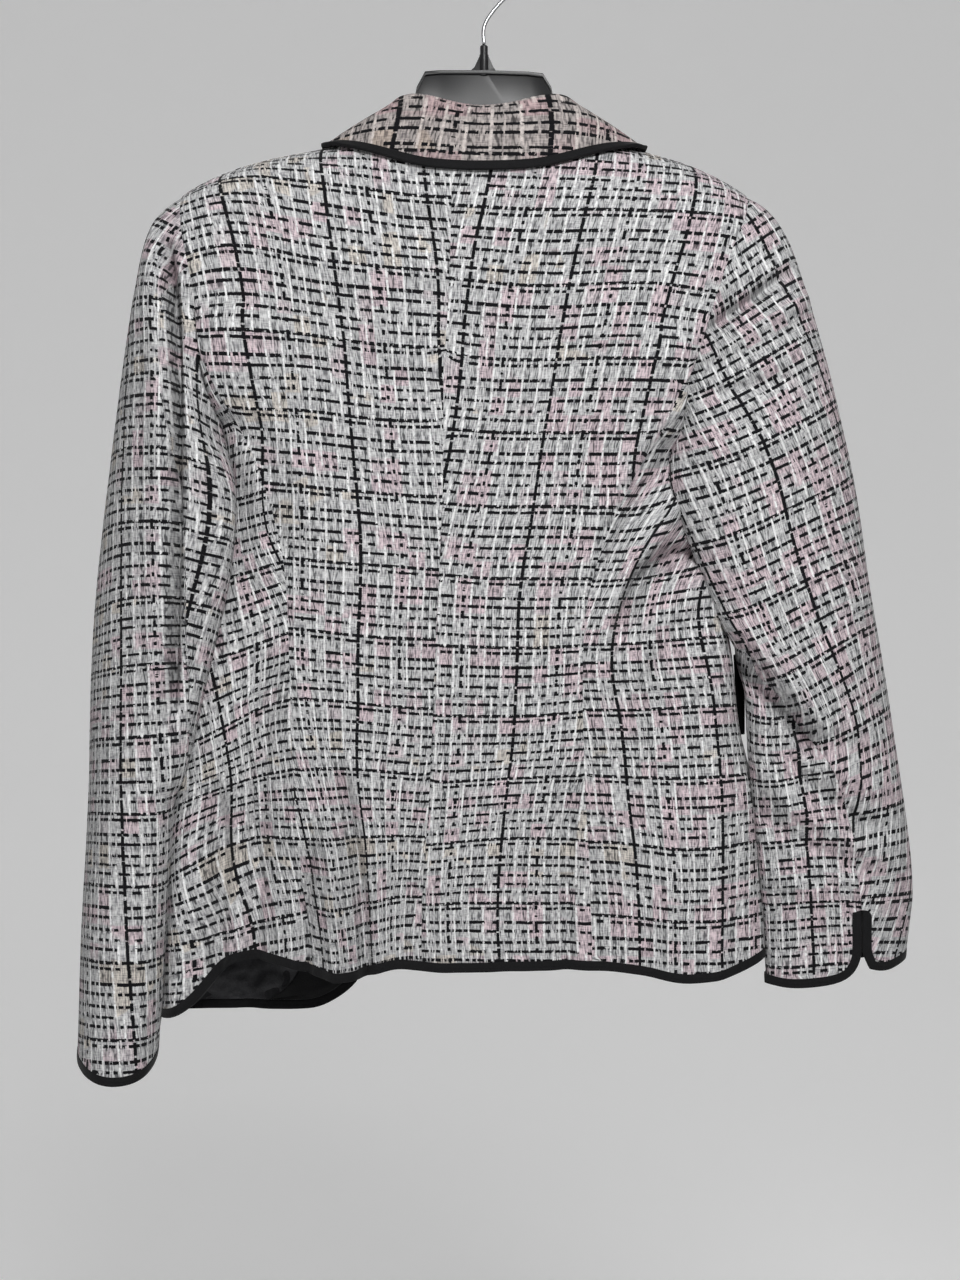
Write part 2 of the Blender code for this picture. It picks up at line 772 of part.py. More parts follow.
def build_body_bindings(panels):
    """The tape along the back hem and round each front."""
    down = np.array([0, 0, -1.0])
    names = ("side_back_left", "back_centre_left", "back_centre_right", "side_back_right")
    edge, normals = joined_edge(panels, names)
    binding("hem_binding", edge, normals, down, (0, -1))
    for node, panel, hem_first, edge_column in (
        ("front_binding_left", "front_left", 1, -1),
        ("front_binding_right", "front_right", -1, 0),
    ):
        outer, normal = panels[panel]
        hem, hem_normals = outer[0, ::hem_first], normal[0, ::hem_first]
        edge = np.concatenate([hem, outer[1:-1, edge_column]])
        normals = np.concatenate([hem_normals, normal[1:-1, edge_column]])
        binding(node, edge, normals, down, (0,))


FACING_COLUMNS = 2
INSIDE_ROWS = 7
INSIDE_LIFT = 0.7 * MM


def build_front_inside(panels):
    """Facing and lining inside the left front's lower end, where they show under the back hem."""
    outer, normals = panels["front_left"]
    inside = outer - normals * (CLOTH + INSIDE_LIFT)
    split = outer.shape[1] - 1 - FACING_COLUMNS
    for node, columns, look in (
        ("front_facing_left", slice(split, None), BLACK_TAPE),
        ("front_lining_left", slice(1, split + 1), SATIN),
    ):
        net = inset(inside[:INSIDE_ROWS, columns], ("first", "last"))
        wall(node, net, normals[:INSIDE_ROWS, columns], LINING, look)


# ---------------------------------------------------------------- sleeves


def armhole_ring(edge, armpit_row=ARMPIT_ROW):
    """Points and body normals round an armhole: from the armpit up the back, over the shoulder, down the front."""
    rings = []
    for side, backwards in (("back", False), ("front", True)):
        rows = ROWS[armpit_row:]
        x, z = body_net(side, edge, edge, 1, rows)
        x, z = x[:, 0], z[:, 0]
        points = np.stack([x, body_y(x, z, side), z], axis=-1)
        normals = body_normal(x, z, side)
        if backwards:
            points, normals = points[-2:0:-1], normals[-2:0:-1]
        rings.append((points, normals))
    points = np.concatenate([rings[0][0], rings[1][0]])
    normals = np.concatenate([rings[0][1], rings[1][1]])
    return points, normals


def sleeve_section(shape, inner, outer, depth, centre, lean):
    """One section: a ring's shape (across, depth share, bow) laid between an inner and an outer end."""
    across, deep, bow = shape
    inner, outer = np.array(inner), np.array(outer)
    middle, half = (inner + outer) / 2, np.linalg.norm(outer - inner) / 2
    out = (outer - inner) / (2 * half)
    square = np.array([-out[1], out[0]])
    flat = math.sqrt(max(half**2 - lean**2, 0))
    reach = flat * across + lean * deep
    xz = middle + reach[:, None] * out + bow[:, None] * square
    return np.stack([xz[:, 0], centre + deep * depth, xz[:, 1]], axis=-1)


def turned(angle, power):
    """Across and depth shares of a rounded section at an angle from its inner end, back half first."""
    across, deep = -np.cos(angle), -np.sin(angle)
    size = (np.abs(across) ** power + np.abs(deep) ** power) ** (1 / power)
    return across / size, deep / size


def resampled(sections, cuff, count):
    """Sections of a sleeve at even steps along its table, and the section at its cuff's edge."""
    steps = np.arange(len(sections["depth"]))
    finer = np.linspace(0, steps[-1], count)
    rows = [dict() for _ in finer]
    for name, column in sections.items():
        for row, value in zip(rows, Curve(steps, column)(finer)):
            row[name] = value
    last = {name: value * MM for name, value in cuff.items() if not isinstance(value, tuple)}
    last["inner_x"], last["inner_z"] = (value * MM for value in cuff["inner"])
    last["outer_x"], last["outer_z"] = (value * MM for value in cuff["outer"])
    return rows, last


def sleeve_sections(ring, sections, cuff, count):
    """All rings of a sleeve from its armhole to its cuff, as an array of rows of points."""
    armpit, shoulder = ring[0], ring[len(ring) // 2]
    inner, outer = armpit[[0, 2]], shoulder[[0, 2]]
    half = np.linalg.norm(outer - inner) / 2
    out = (outer - inner) / (2 * half)
    square = np.array([-out[1], out[0]])
    rel = ring[:, [0, 2]] - (inner + outer) / 2
    across0, bow0 = rel @ out / half, rel @ square
    deep0 = ring[:, 1] / np.max(np.abs(ring[:, 1]))
    angles = np.arctan2(-deep0, -across0)
    angles = np.where(angles < 0, angles + 2 * math.pi, angles)
    angles[0] = angles[0] - 2 * math.pi if angles[0] > math.pi else angles[0]
    plans, last = resampled(sections, cuff, count)
    rows = [ring]
    for k, plan in enumerate(plans + [last]):
        angle = angles + math.radians(plan["turn"] / MM)
        across, deep = turned(angle, SLEEVE_POWER)
        blend = smooth_step((k + 1) / (count * CAP_SHARE))
        across = across0 + (across - across0) * blend
        deep = deep0 + (deep - deep0) * blend
        ends = (plan["inner_x"], plan["inner_z"]), (plan["outer_x"], plan["outer_z"])
        shape = (across, deep, bow0 * (1 - blend))
        section = sleeve_section(shape, *ends, plan["depth"], plan["centre"], plan["lean"])
        if plan is last:
            section[:, 2] += plan["back_drop"] * np.clip(-deep, 0, 1) ** 1.5
            above = rows[-1]
            rows.extend(above + (section - above) * share for share in CUFF_ROWS)
        else:
            rows.append(section)
    return np.array(rows)


def net_normals(net, closed):
    """Outward normals of a sleeve's net of rows of points."""
    if closed:
        around = np.roll(net, -1, axis=1) - np.roll(net, 1, axis=1)
    else:
        around = np.gradient(net, axis=1)
    down = np.gradient(net, axis=0)
    normals = unit(np.cross(around, down))
    middle = net.mean(axis=1, keepdims=True)
    if np.sum(normals * (net - middle)) < 0:
        normals = -normals
    return normals


def open_vent(net, normals, first_row, edge):
    """Draws a panel's edge back at the vent and rounds its lower corner. Returns its points and normals."""
    step = 1 if edge == "first" else -1
    net, normals = net[:, ::step].copy(), normals[:, ::step].copy()
    lifts = [VENT_CORNER - math.sqrt(VENT_CORNER**2 - (VENT_CORNER - away) ** 2) for away in VENT_COLUMNS]
    for i in range(first_row - VENT_LEAD_ROWS, net.shape[0]):
        points, turns = net[i].copy(), normals[i].copy()
        lengths = np.concatenate([[0], np.cumsum(np.linalg.norm(np.diff(points, axis=0), axis=1))])
        lead = 1 - (first_row - i) / (VENT_LEAD_ROWS + 1)
        for k, (away, lift) in enumerate(zip(VENT_COLUMNS, lifts)):
            place = VENT_HALF_WIDTH + away
            if i < first_row:
                place = lengths[k] + (place - lengths[k]) * lead if k else 0
            net[i, k] = [np.interp(place, lengths, points[:, axis]) for axis in range(3)]
            normals[i, k] = [np.interp(place, lengths, turns[:, axis]) for axis in range(3)]
            if i > first_row:
                net[i, k, 2] += lift * CUFF_ROWS[i - first_row]
    return net[:, ::step], unit(normals[:, ::step])


def fold_sleeve(rings, normals, side):
    """Raises the sleeve's folds on its back and, a little lower, on its front."""
    facing = normals[..., 1]
    x, z = rings[..., 0], rings[..., 2]
    offset = np.zeros_like(x)
    for x0, z0, x1, z1, width, height in SLEEVE_FOLDS[side]:
        for drop, share, weight in (
            (0.0, 1.0, np.clip(-facing * 2, 0, 1)),
            (FRONT_FOLD_DROP, FRONT_FOLD_SHARE, np.clip(facing * 2, 0, 1)),
        ):
            fold = ((x0 * MM, z0 * MM - drop), (x1 * MM, z1 * MM - drop), width * MM, height * MM)
            offset += soft_fold(x, z, *fold, open_end=False) * share * weight
    return rings + normals * offset[..., None]


def build_sleeve(side, ring, body_normals, sections, cuff, count):
    """The two panels and the cuff's tape of one sleeve."""
    rings = sleeve_sections(ring, sections, cuff, count)
    rings = fold_sleeve(rings, net_normals(rings, closed=True), side)
    normals = net_normals(rings, closed=True)
    towards = unit(rings[1] - rings[0])
    shared = normals[0] + body_normals
    strength = np.linalg.norm(shared, axis=-1, keepdims=True)
    normals[0] = np.where(strength > 0.5, unit(shared), normals[0])
    seam_gap = unit(np.where(strength > 0.5, towards, towards + body_normals * 2))
    rings[0] = rings[0] + seam_gap * (GAP + SEAM_INSET)

    count = rings.shape[1]
    hind, fore = HIND_SEAM_ROW, count - FORE_SEAM_ROW
    upper = list(range(hind, fore + 1))
    under = list(range(fore, count)) + list(range(0, hind + 1))
    vent_row = rings.shape[0] - len(CUFF_ROWS) - 1
    cuff_edges, cuff_normals = [], []
    for node, columns, vent_edge in (
        ("upper_sleeve_" + side, upper, "first"),
        ("under_sleeve_" + side, under, "last"),
    ):
        net = inset(rings[:, columns], ("first", "last"))
        net, net_normal = open_vent(net, normals[:, columns], vent_row + 1, vent_edge)
        wall(node, net, net_normal, CLOTH, TWEED)
        side_column = 0 if vent_edge == "first" else -1
        vent = net[vent_row + 1 : -1, side_column], net_normal[vent_row + 1 : -1, side_column]
        hem = net[-1], net_normal[-1]
        if vent_edge == "first":
            cuff_edges += [vent[0], hem[0][:-1]]
            cuff_normals += [vent[1], hem[1][:-1]]
        else:
            cuff_edges += [hem[0], vent[0][::-1]]
            cuff_normals += [hem[1], vent[1][::-1]]
    binding(
        "cuff_binding_" + side,
        np.concatenate(cuff_edges),
        np.concatenate(cuff_normals),
        np.array([0, 0, -1.0]),
    )


def build_sleeves():
    for side, edge, sections, cuff, count in (
        ("left", left_boundary, LEFT_SLEEVE, LEFT_CUFF, LEFT_SLEEVE_ROWS),
        ("right", right_boundary, RIGHT_SLEEVE, RIGHT_CUFF, RIGHT_SLEEVE_ROWS),
    ):
        ring, body_normals = armhole_ring(edge)
        build_sleeve(side, ring, body_normals, sections, cuff, count)


# ---------------------------------------------------------------- collar


def neck_seams(panels):
    """The neck seam of the back and of the fronts, from left to right."""
    seams = {}
    for side, names in (("back", ("back_centre_left", "back_centre_right")), ("front", ("front_left", "front_right"))):
        points = np.concatenate([panels[name][0][-1] for name in names])
        points = points[np.argsort(points[:, 0])]
        seams[side] = points[np.abs(points[:, 0]) < NECK_HALF + MM]
    return seams


def neck_point(seams, angle):
    """A point of the neck seam at an angle round the neck: 0 at the middle back, a right angle at the shoulder."""
    seam = seams["back" if abs(angle) <= math.pi / 2 else "front"]
    x = NECK_HALF * math.sin(angle)
    return np.array([x, np.interp(x, seam[:, 0], seam[:, 1]), np.interp(x, seam[:, 0], seam[:, 2])])


def collar_line(seams, angle, roll_z, lean, drop):
    """One section of the collar, from the neck seam over the fold to the fall's edge, and the normal there."""
    side = "back" if abs(angle) <= math.pi / 2 else "front"
    (x, y, z), before, after = (neck_point(seams, angle + turn) for turn in (0, -0.02, 0.02))
    radial = unit([x / NECK_HALF**2, y / NECK_RADIUS_BACK**2, 0])
    up = np.array([0, 0, 1.0])
    run = after - before
    into_neck = unit([-run[2], 0, run[0]] if abs(angle) < math.pi / 2 - 0.01 else [run[2], 0, -run[0]])
    clear = abs(np.dot(radial, into_neck)) * COLLAR_CLOTH / 2 + 2.5 * GAP
    seam = np.array([x, y, z]) - radial * COLLAR_CLOTH / 2 + into_neck * clear
    stand_top = np.array([seam[0], seam[1], roll_z - COLLAR_ROLL]) - radial * lean
    crown = stand_top + radial * COLLAR_ROLL + up * COLLAR_ROLL
    turned_down = stand_top + radial * COLLAR_ROLL * 2 - up * MM
    edge_x = COLLAR_EDGE_HALF * math.sin(angle)
    edge_z = float(top_line(edge_x)) - drop
    surface = np.array([edge_x, float(body_y(edge_x, edge_z, side)), edge_z])
    normal = body_normal(np.array([edge_x]), np.array([edge_z]), side)[0]
    if drop < GAP:
        normal = unit([0, 0, 1.0])
    edge = surface + normal * (COLLAR_CLEARANCE + BINDING / 2)
    chord = edge - turned_down
    bulge = unit(np.cross(chord, [math.cos(angle), math.sin(angle), 0]))
    if np.dot(bulge, radial) < 0:
        bulge = -bulge
    line = [seam, (seam + stand_top) / 2, stand_top, crown, turned_down]
    for k in range(1, COLLAR_FALL_ROWS + 1):
        t = k / COLLAR_FALL_ROWS
        line.append(turned_down + chord * t + bulge * FALL_BULGE * 4 * t * (1 - t))
    return line, normal


def build_collar(panels):
    """Stand and fall as one folded wall round the neck, and the tape on the fall's edge."""
    half = np.array(COLLAR_STATIONS, dtype=float)
    place = np.concatenate([-half[:0:-1], half])
    columns = [Curve(COLLAR_TABLE_ANGLES, COLLAR[c])(np.abs(place)) for c in ("roll_height", "lean", "edge_drop")]
    seams = neck_seams(panels)
    lines, edge_normals = zip(*(collar_line(seams, math.radians(a), *row) for a, *row in zip(place, *columns)))
    net = np.array(lines).transpose(1, 0, 2)
    normals = unit(np.cross(np.gradient(net, axis=1), np.gradient(net, axis=0)))
    if normals[3, len(half) - 1, 2] < 0:
        normals = -normals
    normals[-1] = np.array(edge_normals)
    wall("collar", net + normals * COLLAR_CLOTH / 2, normals, COLLAR_CLOTH, TWEED)
    binding("collar_binding", net[-1] + normals[-1] * CLOTH / 2, normals[-1], net[-1] - net[-2])


# ---------------------------------------------------------------- hanger


def hanger_section(top, bottom):
    """The I section between a point on the upper rim and one on the lower rim."""
    top, bottom = np.array([top[0], 0, top[1]]), np.array([bottom[0], 0, bottom[1]])
    down = unit(bottom - top)
    height = np.linalg.norm(bottom - top)
    rim, web, low = RIM_HALF, WEB_HALF, height - RIM_THICK
    outline = (
        (-rim, 0), (rim, 0), (rim, RIM_THICK), (web, RIM_THICK), (web, low), (rim, low),
        (rim, height), (-rim, height), (-rim, low), (-web, low), (-web, RIM_THICK), (-rim, RIM_THICK),
    )
    return [top + down * t + np.array([0, y, 0]) for y, t in outline]


def hanger_half(sign):
    """Pairs of points on the upper and lower rims of one half of the bar, from the middle outwards."""
    pairs = []
    for top_x, top_z, bottom_x, bottom_z in zip(*HANGER_NECK.values()):
        tilt = HANGER_TILT * (top_x / HANGER_NECK["top_x"][2]) if sign > 0 and top_z > HANGER_SHELF else 0
        pairs.append(((sign * top_x, top_z - tilt), (sign * bottom_x, bottom_z)))
    reach = (1 + LEFT_ARM_EXTRA / (ARM_STATIONS[-1] * MM)) if sign < 0 else 1
    for station in ARM_STATIONS:
        x = sign * station * MM * reach
        z = float(top_line(x)) - CLOTH - ARM_REST
        slope = (float(top_line(x + MM)) - float(top_line(x - MM))) / (2 * MM)
        square = unit([slope, -1.0])
        height = ARM_HEIGHT * (TIP_SHARE if station == ARM_STATIONS[-1] else 1)
        pairs.append(((x, z), (x + square[0] * height, z + square[1] * height)))
    return pairs


def build_hanger_body():
    """The plastic bar: an I section along its neck and arms, with a boss and gussets under the hook."""
    path = hanger_half(-1)[::-1] + hanger_half(1)[1:]
    bar = sweep("hanger_body", [hanger_section(*pair) for pair in path], BLACK_PLASTIC, smooth=False)

    ring = np.linspace(0, 2 * math.pi, 13)[:-1]
    circle = np.stack([np.cos(ring), np.sin(ring)], axis=-1)
    sections = []
    for radius, z in (
        (BOSS_RADIUS, BOSS_BOTTOM), (BOSS_RADIUS, BOSS_STEP), (BOSS_RADIUS * 0.86, BOSS_STEP + 0.4 * MM),
        (BOSS_RADIUS * 0.86, BOSS_TOP - 0.8 * MM), (BOSS_RADIUS * 0.62, BOSS_TOP),
    ):
        sections.append([(radius * c, radius * s, z) for c, s in circle])
    boss = sweep("boss", sections, BLACK_PLASTIC)
    outline = [(x * MM, z * MM) for x, z in GUSSET]
    gusset = sweep(
        "gusset",
        [[(x, y, z) for x, z in outline] for y in (-GUSSET_HALF, GUSSET_HALF)],
        BLACK_PLASTIC,
        smooth=False,
    )
    for piece in (boss, gusset):
        join = bar.modifiers.new("join_" + piece.name, "BOOLEAN")
        join.operation = "UNION"
        join.solver = "EXACT"
        join.object = piece
        piece.hide_render = True
        piece.display_type = "WIRE"


def build_hook():
    """The bent wire: up from the boss, round to the right and over the rail to its free end at the left."""
    radius = HOOK_INNER_RADIUS + WIRE_RADIUS
    centre = np.array([0, -HOOK_INNER_RADIUS])
    start = math.radians(-46)
    stop = math.radians(205)
    stem = np.array([(0, -61.7), (-0.2, -58), (-0.6, -54), (-0.3, -49.5), (2.2, -44), (6.5, -38.4), (10.6, -33.4)])
    arc = [centre + radius * np.array([math.cos(a), math.sin(a)]) for a in np.linspace(start, stop, 22)]
    path = np.concatenate([stem * MM, arc])
    along = unit(np.gradient(path, axis=0))
    sections = []
    for (x, z), (dx, dz) in zip(path, along):
        across = np.array([-dz, 0, dx])
        ring = []
        for k in range(WIRE_SIDES):
            turn = 2 * math.pi * (k + 0.5) / WIRE_SIDES
            offset = across * math.cos(turn) + np.array([0, 1.0, 0]) * math.sin(turn)
            ring.append(np.array([x, 0, z]) + offset * WIRE_RADIUS)
        sections.append(ring)
    sweep("hanger_hook", sections, STEEL)


def build_pocket_edge():
    """The bound edge of a pocket on the right front, where it stands out past the side."""
    plan = {name: value * MM for name, value in POCKET_EDGE.items()}
    sections = []
    for z in np.linspace(plan["low"], plan["high"], 7):
        near, far = float(right_side(z)) + plan["clear"], plan["outer"]
        y, behind = plan["y"], plan["y"] + plan["thick"]
        sections.append([(near, y, z), (far, y, z), (far, behind, z), (near, behind, z)])
    sweep("pocket_edge_right", sections, BLACK_TAPE, smooth=False)


def main():
    for thing in list(bpy.data.objects):
        bpy.data.objects.remove(thing, do_unlink=True)
    panels = build_body()
    build_body_bindings(panels)
    build_front_inside(panels)
    build_sleeves()
    build_collar(panels)
    build_hanger_body()
    build_hook()
    build_pocket_edge()


main()
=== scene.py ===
"""Looks of a cropped tweed jacket hung on a plastic hanger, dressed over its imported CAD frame."""

import math

import bmesh
import bpy
import numpy as np
from bpy.props import FloatProperty, FloatVectorProperty, PointerProperty
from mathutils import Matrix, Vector, noise


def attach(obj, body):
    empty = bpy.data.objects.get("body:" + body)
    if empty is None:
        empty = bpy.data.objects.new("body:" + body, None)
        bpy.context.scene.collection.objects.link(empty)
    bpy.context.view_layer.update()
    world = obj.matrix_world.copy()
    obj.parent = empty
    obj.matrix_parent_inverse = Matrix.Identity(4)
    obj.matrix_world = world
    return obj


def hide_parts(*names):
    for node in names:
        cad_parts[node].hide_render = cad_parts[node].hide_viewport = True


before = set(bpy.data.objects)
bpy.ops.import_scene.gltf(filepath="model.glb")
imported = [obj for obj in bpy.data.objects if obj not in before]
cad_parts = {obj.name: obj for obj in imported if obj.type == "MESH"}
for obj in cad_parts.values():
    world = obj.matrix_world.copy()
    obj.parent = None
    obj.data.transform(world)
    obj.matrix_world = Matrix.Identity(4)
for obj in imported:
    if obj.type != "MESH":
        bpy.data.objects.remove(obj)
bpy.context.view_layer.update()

bl_info = {
    "name": "Tweed jacket on a hanger",
    "version": (1, 0, 0),
    "blender": (4, 5, 0),
    "location": "3D View > Sidebar > Jacket",
    "description": "Cloth, tapes, lining, hanger and studio of a cropped tweed jacket",
    "category": "Object",
}

MM = 0.001


def table(names, *rows):
    """A list of rows with named columns."""
    return [dict(zip(names.split(), row)) for row in rows]


# The tweed panels: which way the outer side faces, the wall's thickness, the cut's flat size and its area.
PANELS = table(
    "node facing thickness flat area",
    ("back_centre_left", (0, -1, 0), 2.0, (0.185, 0.56), 0.068),
    ("back_centre_right", (0, -1, 0), 2.0, (0.195, 0.56), 0.074),
    ("side_back_left", (-0.6, -1, 0), 2.0, (0.125, 0.42), 0.035),
    ("side_back_right", (0.6, -1, 0), 2.0, (0.145, 0.42), 0.042),
    ("front_left", (-0.3, 1, 0), 2.0, (0.235, 0.60), 0.091),
    ("front_right", (0.3, 1, 0), 2.0, (0.215, 0.60), 0.075),
    ("upper_sleeve_left", (-1, -0.3, 0), 2.0, (0.19, 0.58), 0.076),
    ("upper_sleeve_right", (1, -0.3, 0), 2.0, (0.19, 0.58), 0.077),
    ("under_sleeve_left", (1, -0.2, 0), 2.0, (0.155, 0.52), 0.056),
    ("under_sleeve_right", (-1, -0.2, 0), 2.0, (0.155, 0.52), 0.053),
    ("collar", (0, 0, 1), 2.6, (0.36, 0.085), 0.023),
)

# Yarns that were followed on the hung jacket, in mm in the plane through the hook, as the back camera
# sees them. A row is a yarn's count in repeats of the check, where it starts and ends, and its places at even
# steps between: x down along z for warps, counted by the solid dark yarn, and z along x for wefts, counted by
# the first dark row under a pale gap.
WARP_TRACKS = {
    "back_centre_left": (
        (-1, -153, -302, -180, -172, -165, -159, -154),
        (-0.58, -148, -682, -151, -143, -137, -133, -129, -126, -124, -124, -124, -123, -118, -111, -104,
         -99, -94),
        (0, -144, -560, -111, -106, -101, -96, -93, -90, -86, -84, -85, -86, -86, -87),
        (0.42, -144, -404, -82, -77, -72, -69, -66, -63, -60, -56),
        (0.42, -410, -676, -56, -57, -58, -58, -61, -63, -63, -64),
        (1, -148, -306, -41, -36, -31, -31, -28),
    ),
    "back_centre_right": (
        (0, -149, -329, 4, -4, -10, -14, -17, -22),
        (0.42, -149, -679, 34, 25, 18, 14, 10, 4, -4, -12, -15, -16, -17, -19, -22, -25, -24),
        (1, -149, -679, 75, 66, 58, 51, 45, 39, 33, 27, 23, 22, 20, 16, 12, 9, 10),
        (1.42, -155, -349, 104, 94, 86, 78, 70, 63),
        (1.42, -359, -679, 63, 59, 52, 50, 48, 46, 40, 36, 35, 36),
        (2, -152, -329, 144, 138, 128, 119, 111, 104),
    ),
    "collar": (
        (0, -102, -133, -56, -59, -63),
        (0.42, -99, -133, -17, -20, -23),
        (1, -102, -133, 46, 46, 46),
    ),
    "forearm_right": (
        (0, -543, -677, 214, 217, 219, 221, 222, 224),
        (0.42, -580, -616, 246, 246),
    ),
    "side_back_left": (
        (0, -396, -457, -175, -180, -188),
        (0, -481, -567, -183, -177, -170),
        (0, -586, -672, -173, -168, -157),
        (0.42, -396, -475, -168, -160, -155),
        (0.42, -486, -677, -154, -154, -149, -142, -135),
    ),
    "side_back_right": (
        (0, -372, -465, 128, 109, 96, 88),
        (0, -471, -676, 86, 90, 95, 98, 102, 105, 106),
        (1, -440, -676, 143, 148, 154, 158, 160, 160, 160),
    ),
    "under_sleeve_left": (
        (0, -384, -463, -190, -194, -200, -206),
    ),
    "upper_sleeve_left": (
        (0, -350, -752, -246, -247, -247, -247, -247, -246, -244, -241, -237),
        (0.42, -214, -595, -226, -226, -226, -226, -225, -224, -222, -220, -218),
    ),
    "upper_sleeve_right": (
        (-0.58, -318, -506, 143, 154, 166, 176, 188, 202, 218),
        (0, -257, -478, 151, 164, 184, 197, 207, 215, 226, 238),
        (0.42, -250, -437, 173, 196, 209, 223, 232, 242, 253),
        (1, -192, -264, 188, 205, 222),
    ),
}
WEFT_TRACKS = {
    "back_centre_left": (
        (-4, -195, -26, -167, -162, -165, -168, -172, -175, -179, -180),
        (-3, -195, -26, -218, -213, -217, -221, -225, -227, -229, -231),
        (-2, -182, -30, -272, -274, -272, -274, -278, -280, -282, -283),
        (-1, -150, -30, -323, -325, -327, -330, -332, -333),
        (0, -132, -34, -376, -378, -380, -382, -384),
        (1, -125, -33, -425, -428, -429, -431, -432),
        (2, -125, -35, -473, -475, -478, -479, -480),
        (3, -125, -37, -520, -521, -522, -525, -526),
        (4, -125, -39, -568, -568, -567, -570, -570),
        (5, -124, -42, -614, -616, -613, -612, -612),
        (6, -116, -44, -661, -664, -656, -654),
    ),
    "back_centre_right": (
        (-4, -16, 147, -185, -188, -188, -188, -190),
        (-3, -18, 139, -236, -238, -240, -240, -239, -238, -238, -242),
        (-2, -18, 128, -288, -290, -290, -290, -289, -290, -291),
        (-1, -24, 108, -338, -339, -340, -340, -340, -340, -340),
        (0, -25, 81, -388, -390, -390, -390, -390, -391),
        (1, -26, 65, -436, -438, -438, -439, -438),
        (2, -28, 64, -484, -485, -485, -485, -483),
        (3, -30, 64, -531, -531, -531, -530, -528),
        (4, -31, 67, -575, -574, -572, -571, -571),
        (5, -33, 68, -617, -614, -614, -614, -615),
        (6, -33, 68, -658, -658, -659, -658, -659),
    ),
    "collar": (
        (0, -44, 38, -121, -123, -122),
    ),
    "forearm_right": (
        (0, 182, 191, -529, -533),
        (1, 182, 246, -574, -574, -572, -569, -567),
        (2, 191, 246, -617, -616, -614, -616),
        (3, 205, 246, -658, -656, -655),
    ),
    "side_back_left": (
        (0, -171, -146, -388, -380),
        (1, -184, -137, -444, -436, -428),
        (2, -193, -135, -497, -491, -483, -475),
        (3, -199, -133, -550, -541, -525, -522),
        (4, -209, -131, -593, -579, -572, -568),
        (5, -209, -129, -640, -632, -620, -615, -615),
    ),
    "side_back_right": (
        (0, 106, 139, -391, -388, -382),
        (1, 101, 154, -438, -434, -431),
        (2, 73, 166, -482, -482, -480, -479, -477),
        (3, 73, 169, -527, -527, -527, -525, -524),
        (4, 73, 176, -571, -572, -574, -574, -573, -570),
        (5, 75, 180, -617, -618, -622, -623, -621, -616),
    ),
    "under_sleeve_left": (
        (-2, -207, -178, -355, -366),
        (-1, -207, -183, -404, -412),
        (0, -207, -200, -454, -457),
    ),
    "upper_sleeve_left": (
        (-4, -234, -220, -249, -249),
        (-3, -237, -220, -300, -300),
        (-2, -241, -220, -350, -350),
        (-1, -248, -217, -402, -401),
        (0, -261, -214, -457, -451, -451),
        (1, -262, -214, -500, -497, -495),
        (2, -265, -214, -549, -548, -546),
        (3, -268, -216, -598, -599, -597),
        (4, -269, -218, -647, -649, -646),
        (5, -271, -220, -699, -701, -697),
    ),
    "upper_sleeve_right": (
        (-2, 154, 186, -258, -249, -237),
        (-1, 134, 230, -320, -308, -295, -283, -270),
        (0, 138, 242, -368, -359, -352, -342, -332, -320),
        (1, 154, 250, -415, -407, -395, -384, -372),
        (2, 172, 254, -462, -455, -444, -434, -425),
        (3, 210, 265, -504, -489, -472),
    ),
}

WARP_REPEAT = 65.3
WEFT_REPEAT = 50.3
# How far the yarns of a panel may be drawn out of line, in repeats, over which reach, in metres.
YARN_STRETCH = table("reach share", (0.16, 0.3), (0.04, 0.08))
# How far a mark may be missed, in repeats, how far it may lie from a point of the sheet, and how squarely
# that point has to face the back camera.
YARN_SLIP = 0.012
MARK_REACH = 14 * MM
GRAZING = 0.35

# One repeat of the cloth: the place and width of each yarn in mm, and its strength. Across there are greyer
# bands, two dark warps, and the thick white yarn, which runs at the first places over the upper rows and at
# the second ones over the lower rows. Down there are the dark rows, whose strength closes them between bands.
YARN_CHARTS = {
    "grey warp": ((8.45, 3.5, 1), (19.4, 3.5, 1), (35.8, 3.5, 0.95), (46.5, 3.2, 0.95), (51.8, 3.2, 0.9)),
    "solid warp": ((0.25, 2.5, 1),),
    "dashed warp": ((27.8, 2.4, 1),),
    "white warp above": ((11.7, 1.5, 0.9), (22.3, 1.5, 1), (33, 1.5, 1), (43.4, 1.4, 0.9), (54.8, 1.5, 1)),
    "white warp below": ((5.7, 1.4, 1), (16.3, 1.4, 0.9), (38.4, 1.5, 0.9), (49.2, 1.4, 0.9), (60, 1.5, 1)),
    "dark weft": (
        (1.3, 2.4, 0.5), (7.6, 2.4, 0.54), (15.7, 2.3, 0.52), (22.4, 2.2, 0.25), (28.6, 2.3, 0.52),
        (37.0, 2.7, 0.72), (41.1, 2.4, 0.5),
    ),
}
WEFT_START = 1.3
# The dashes of the dashed dark warp, and where the white yarn runs at its second places, in mm.
WARP_DASHES = ((0.0, 8.7), (10.7, 16.4), (19.4, 23.4), (26.8, 31.1), (34.8, 42.2), (44.2, 47.9))
WHITE_CHANGE = ((21.0, 39.3),)

# Noises of the cloth: cells in one repeat across and down, a place of their own, and detail.
NOISES = {
    "long sway of warps": (8, 2, 3, 2),
    "short sway of warps": (40, 26, 5, 2),
    "long sway of wefts": (2, 8, 7, 2),
    "short sway of wefts": (40, 30, 9, 2),
    "upright threads": (64, 8, 1, 1),
    "lying threads": (13, 64, 2, 1),
    "fuzz": (120, 92, 4, 2),
    "patches": (7, 5.5, 15, 1),
    "white over rows": (15, 9, 11, 0),
    "wear": (2, 14, 41, 1),
    "tint": (0.9, 1.1, 21, 1),
    "white wear": (15, 16, 31, 1),
}
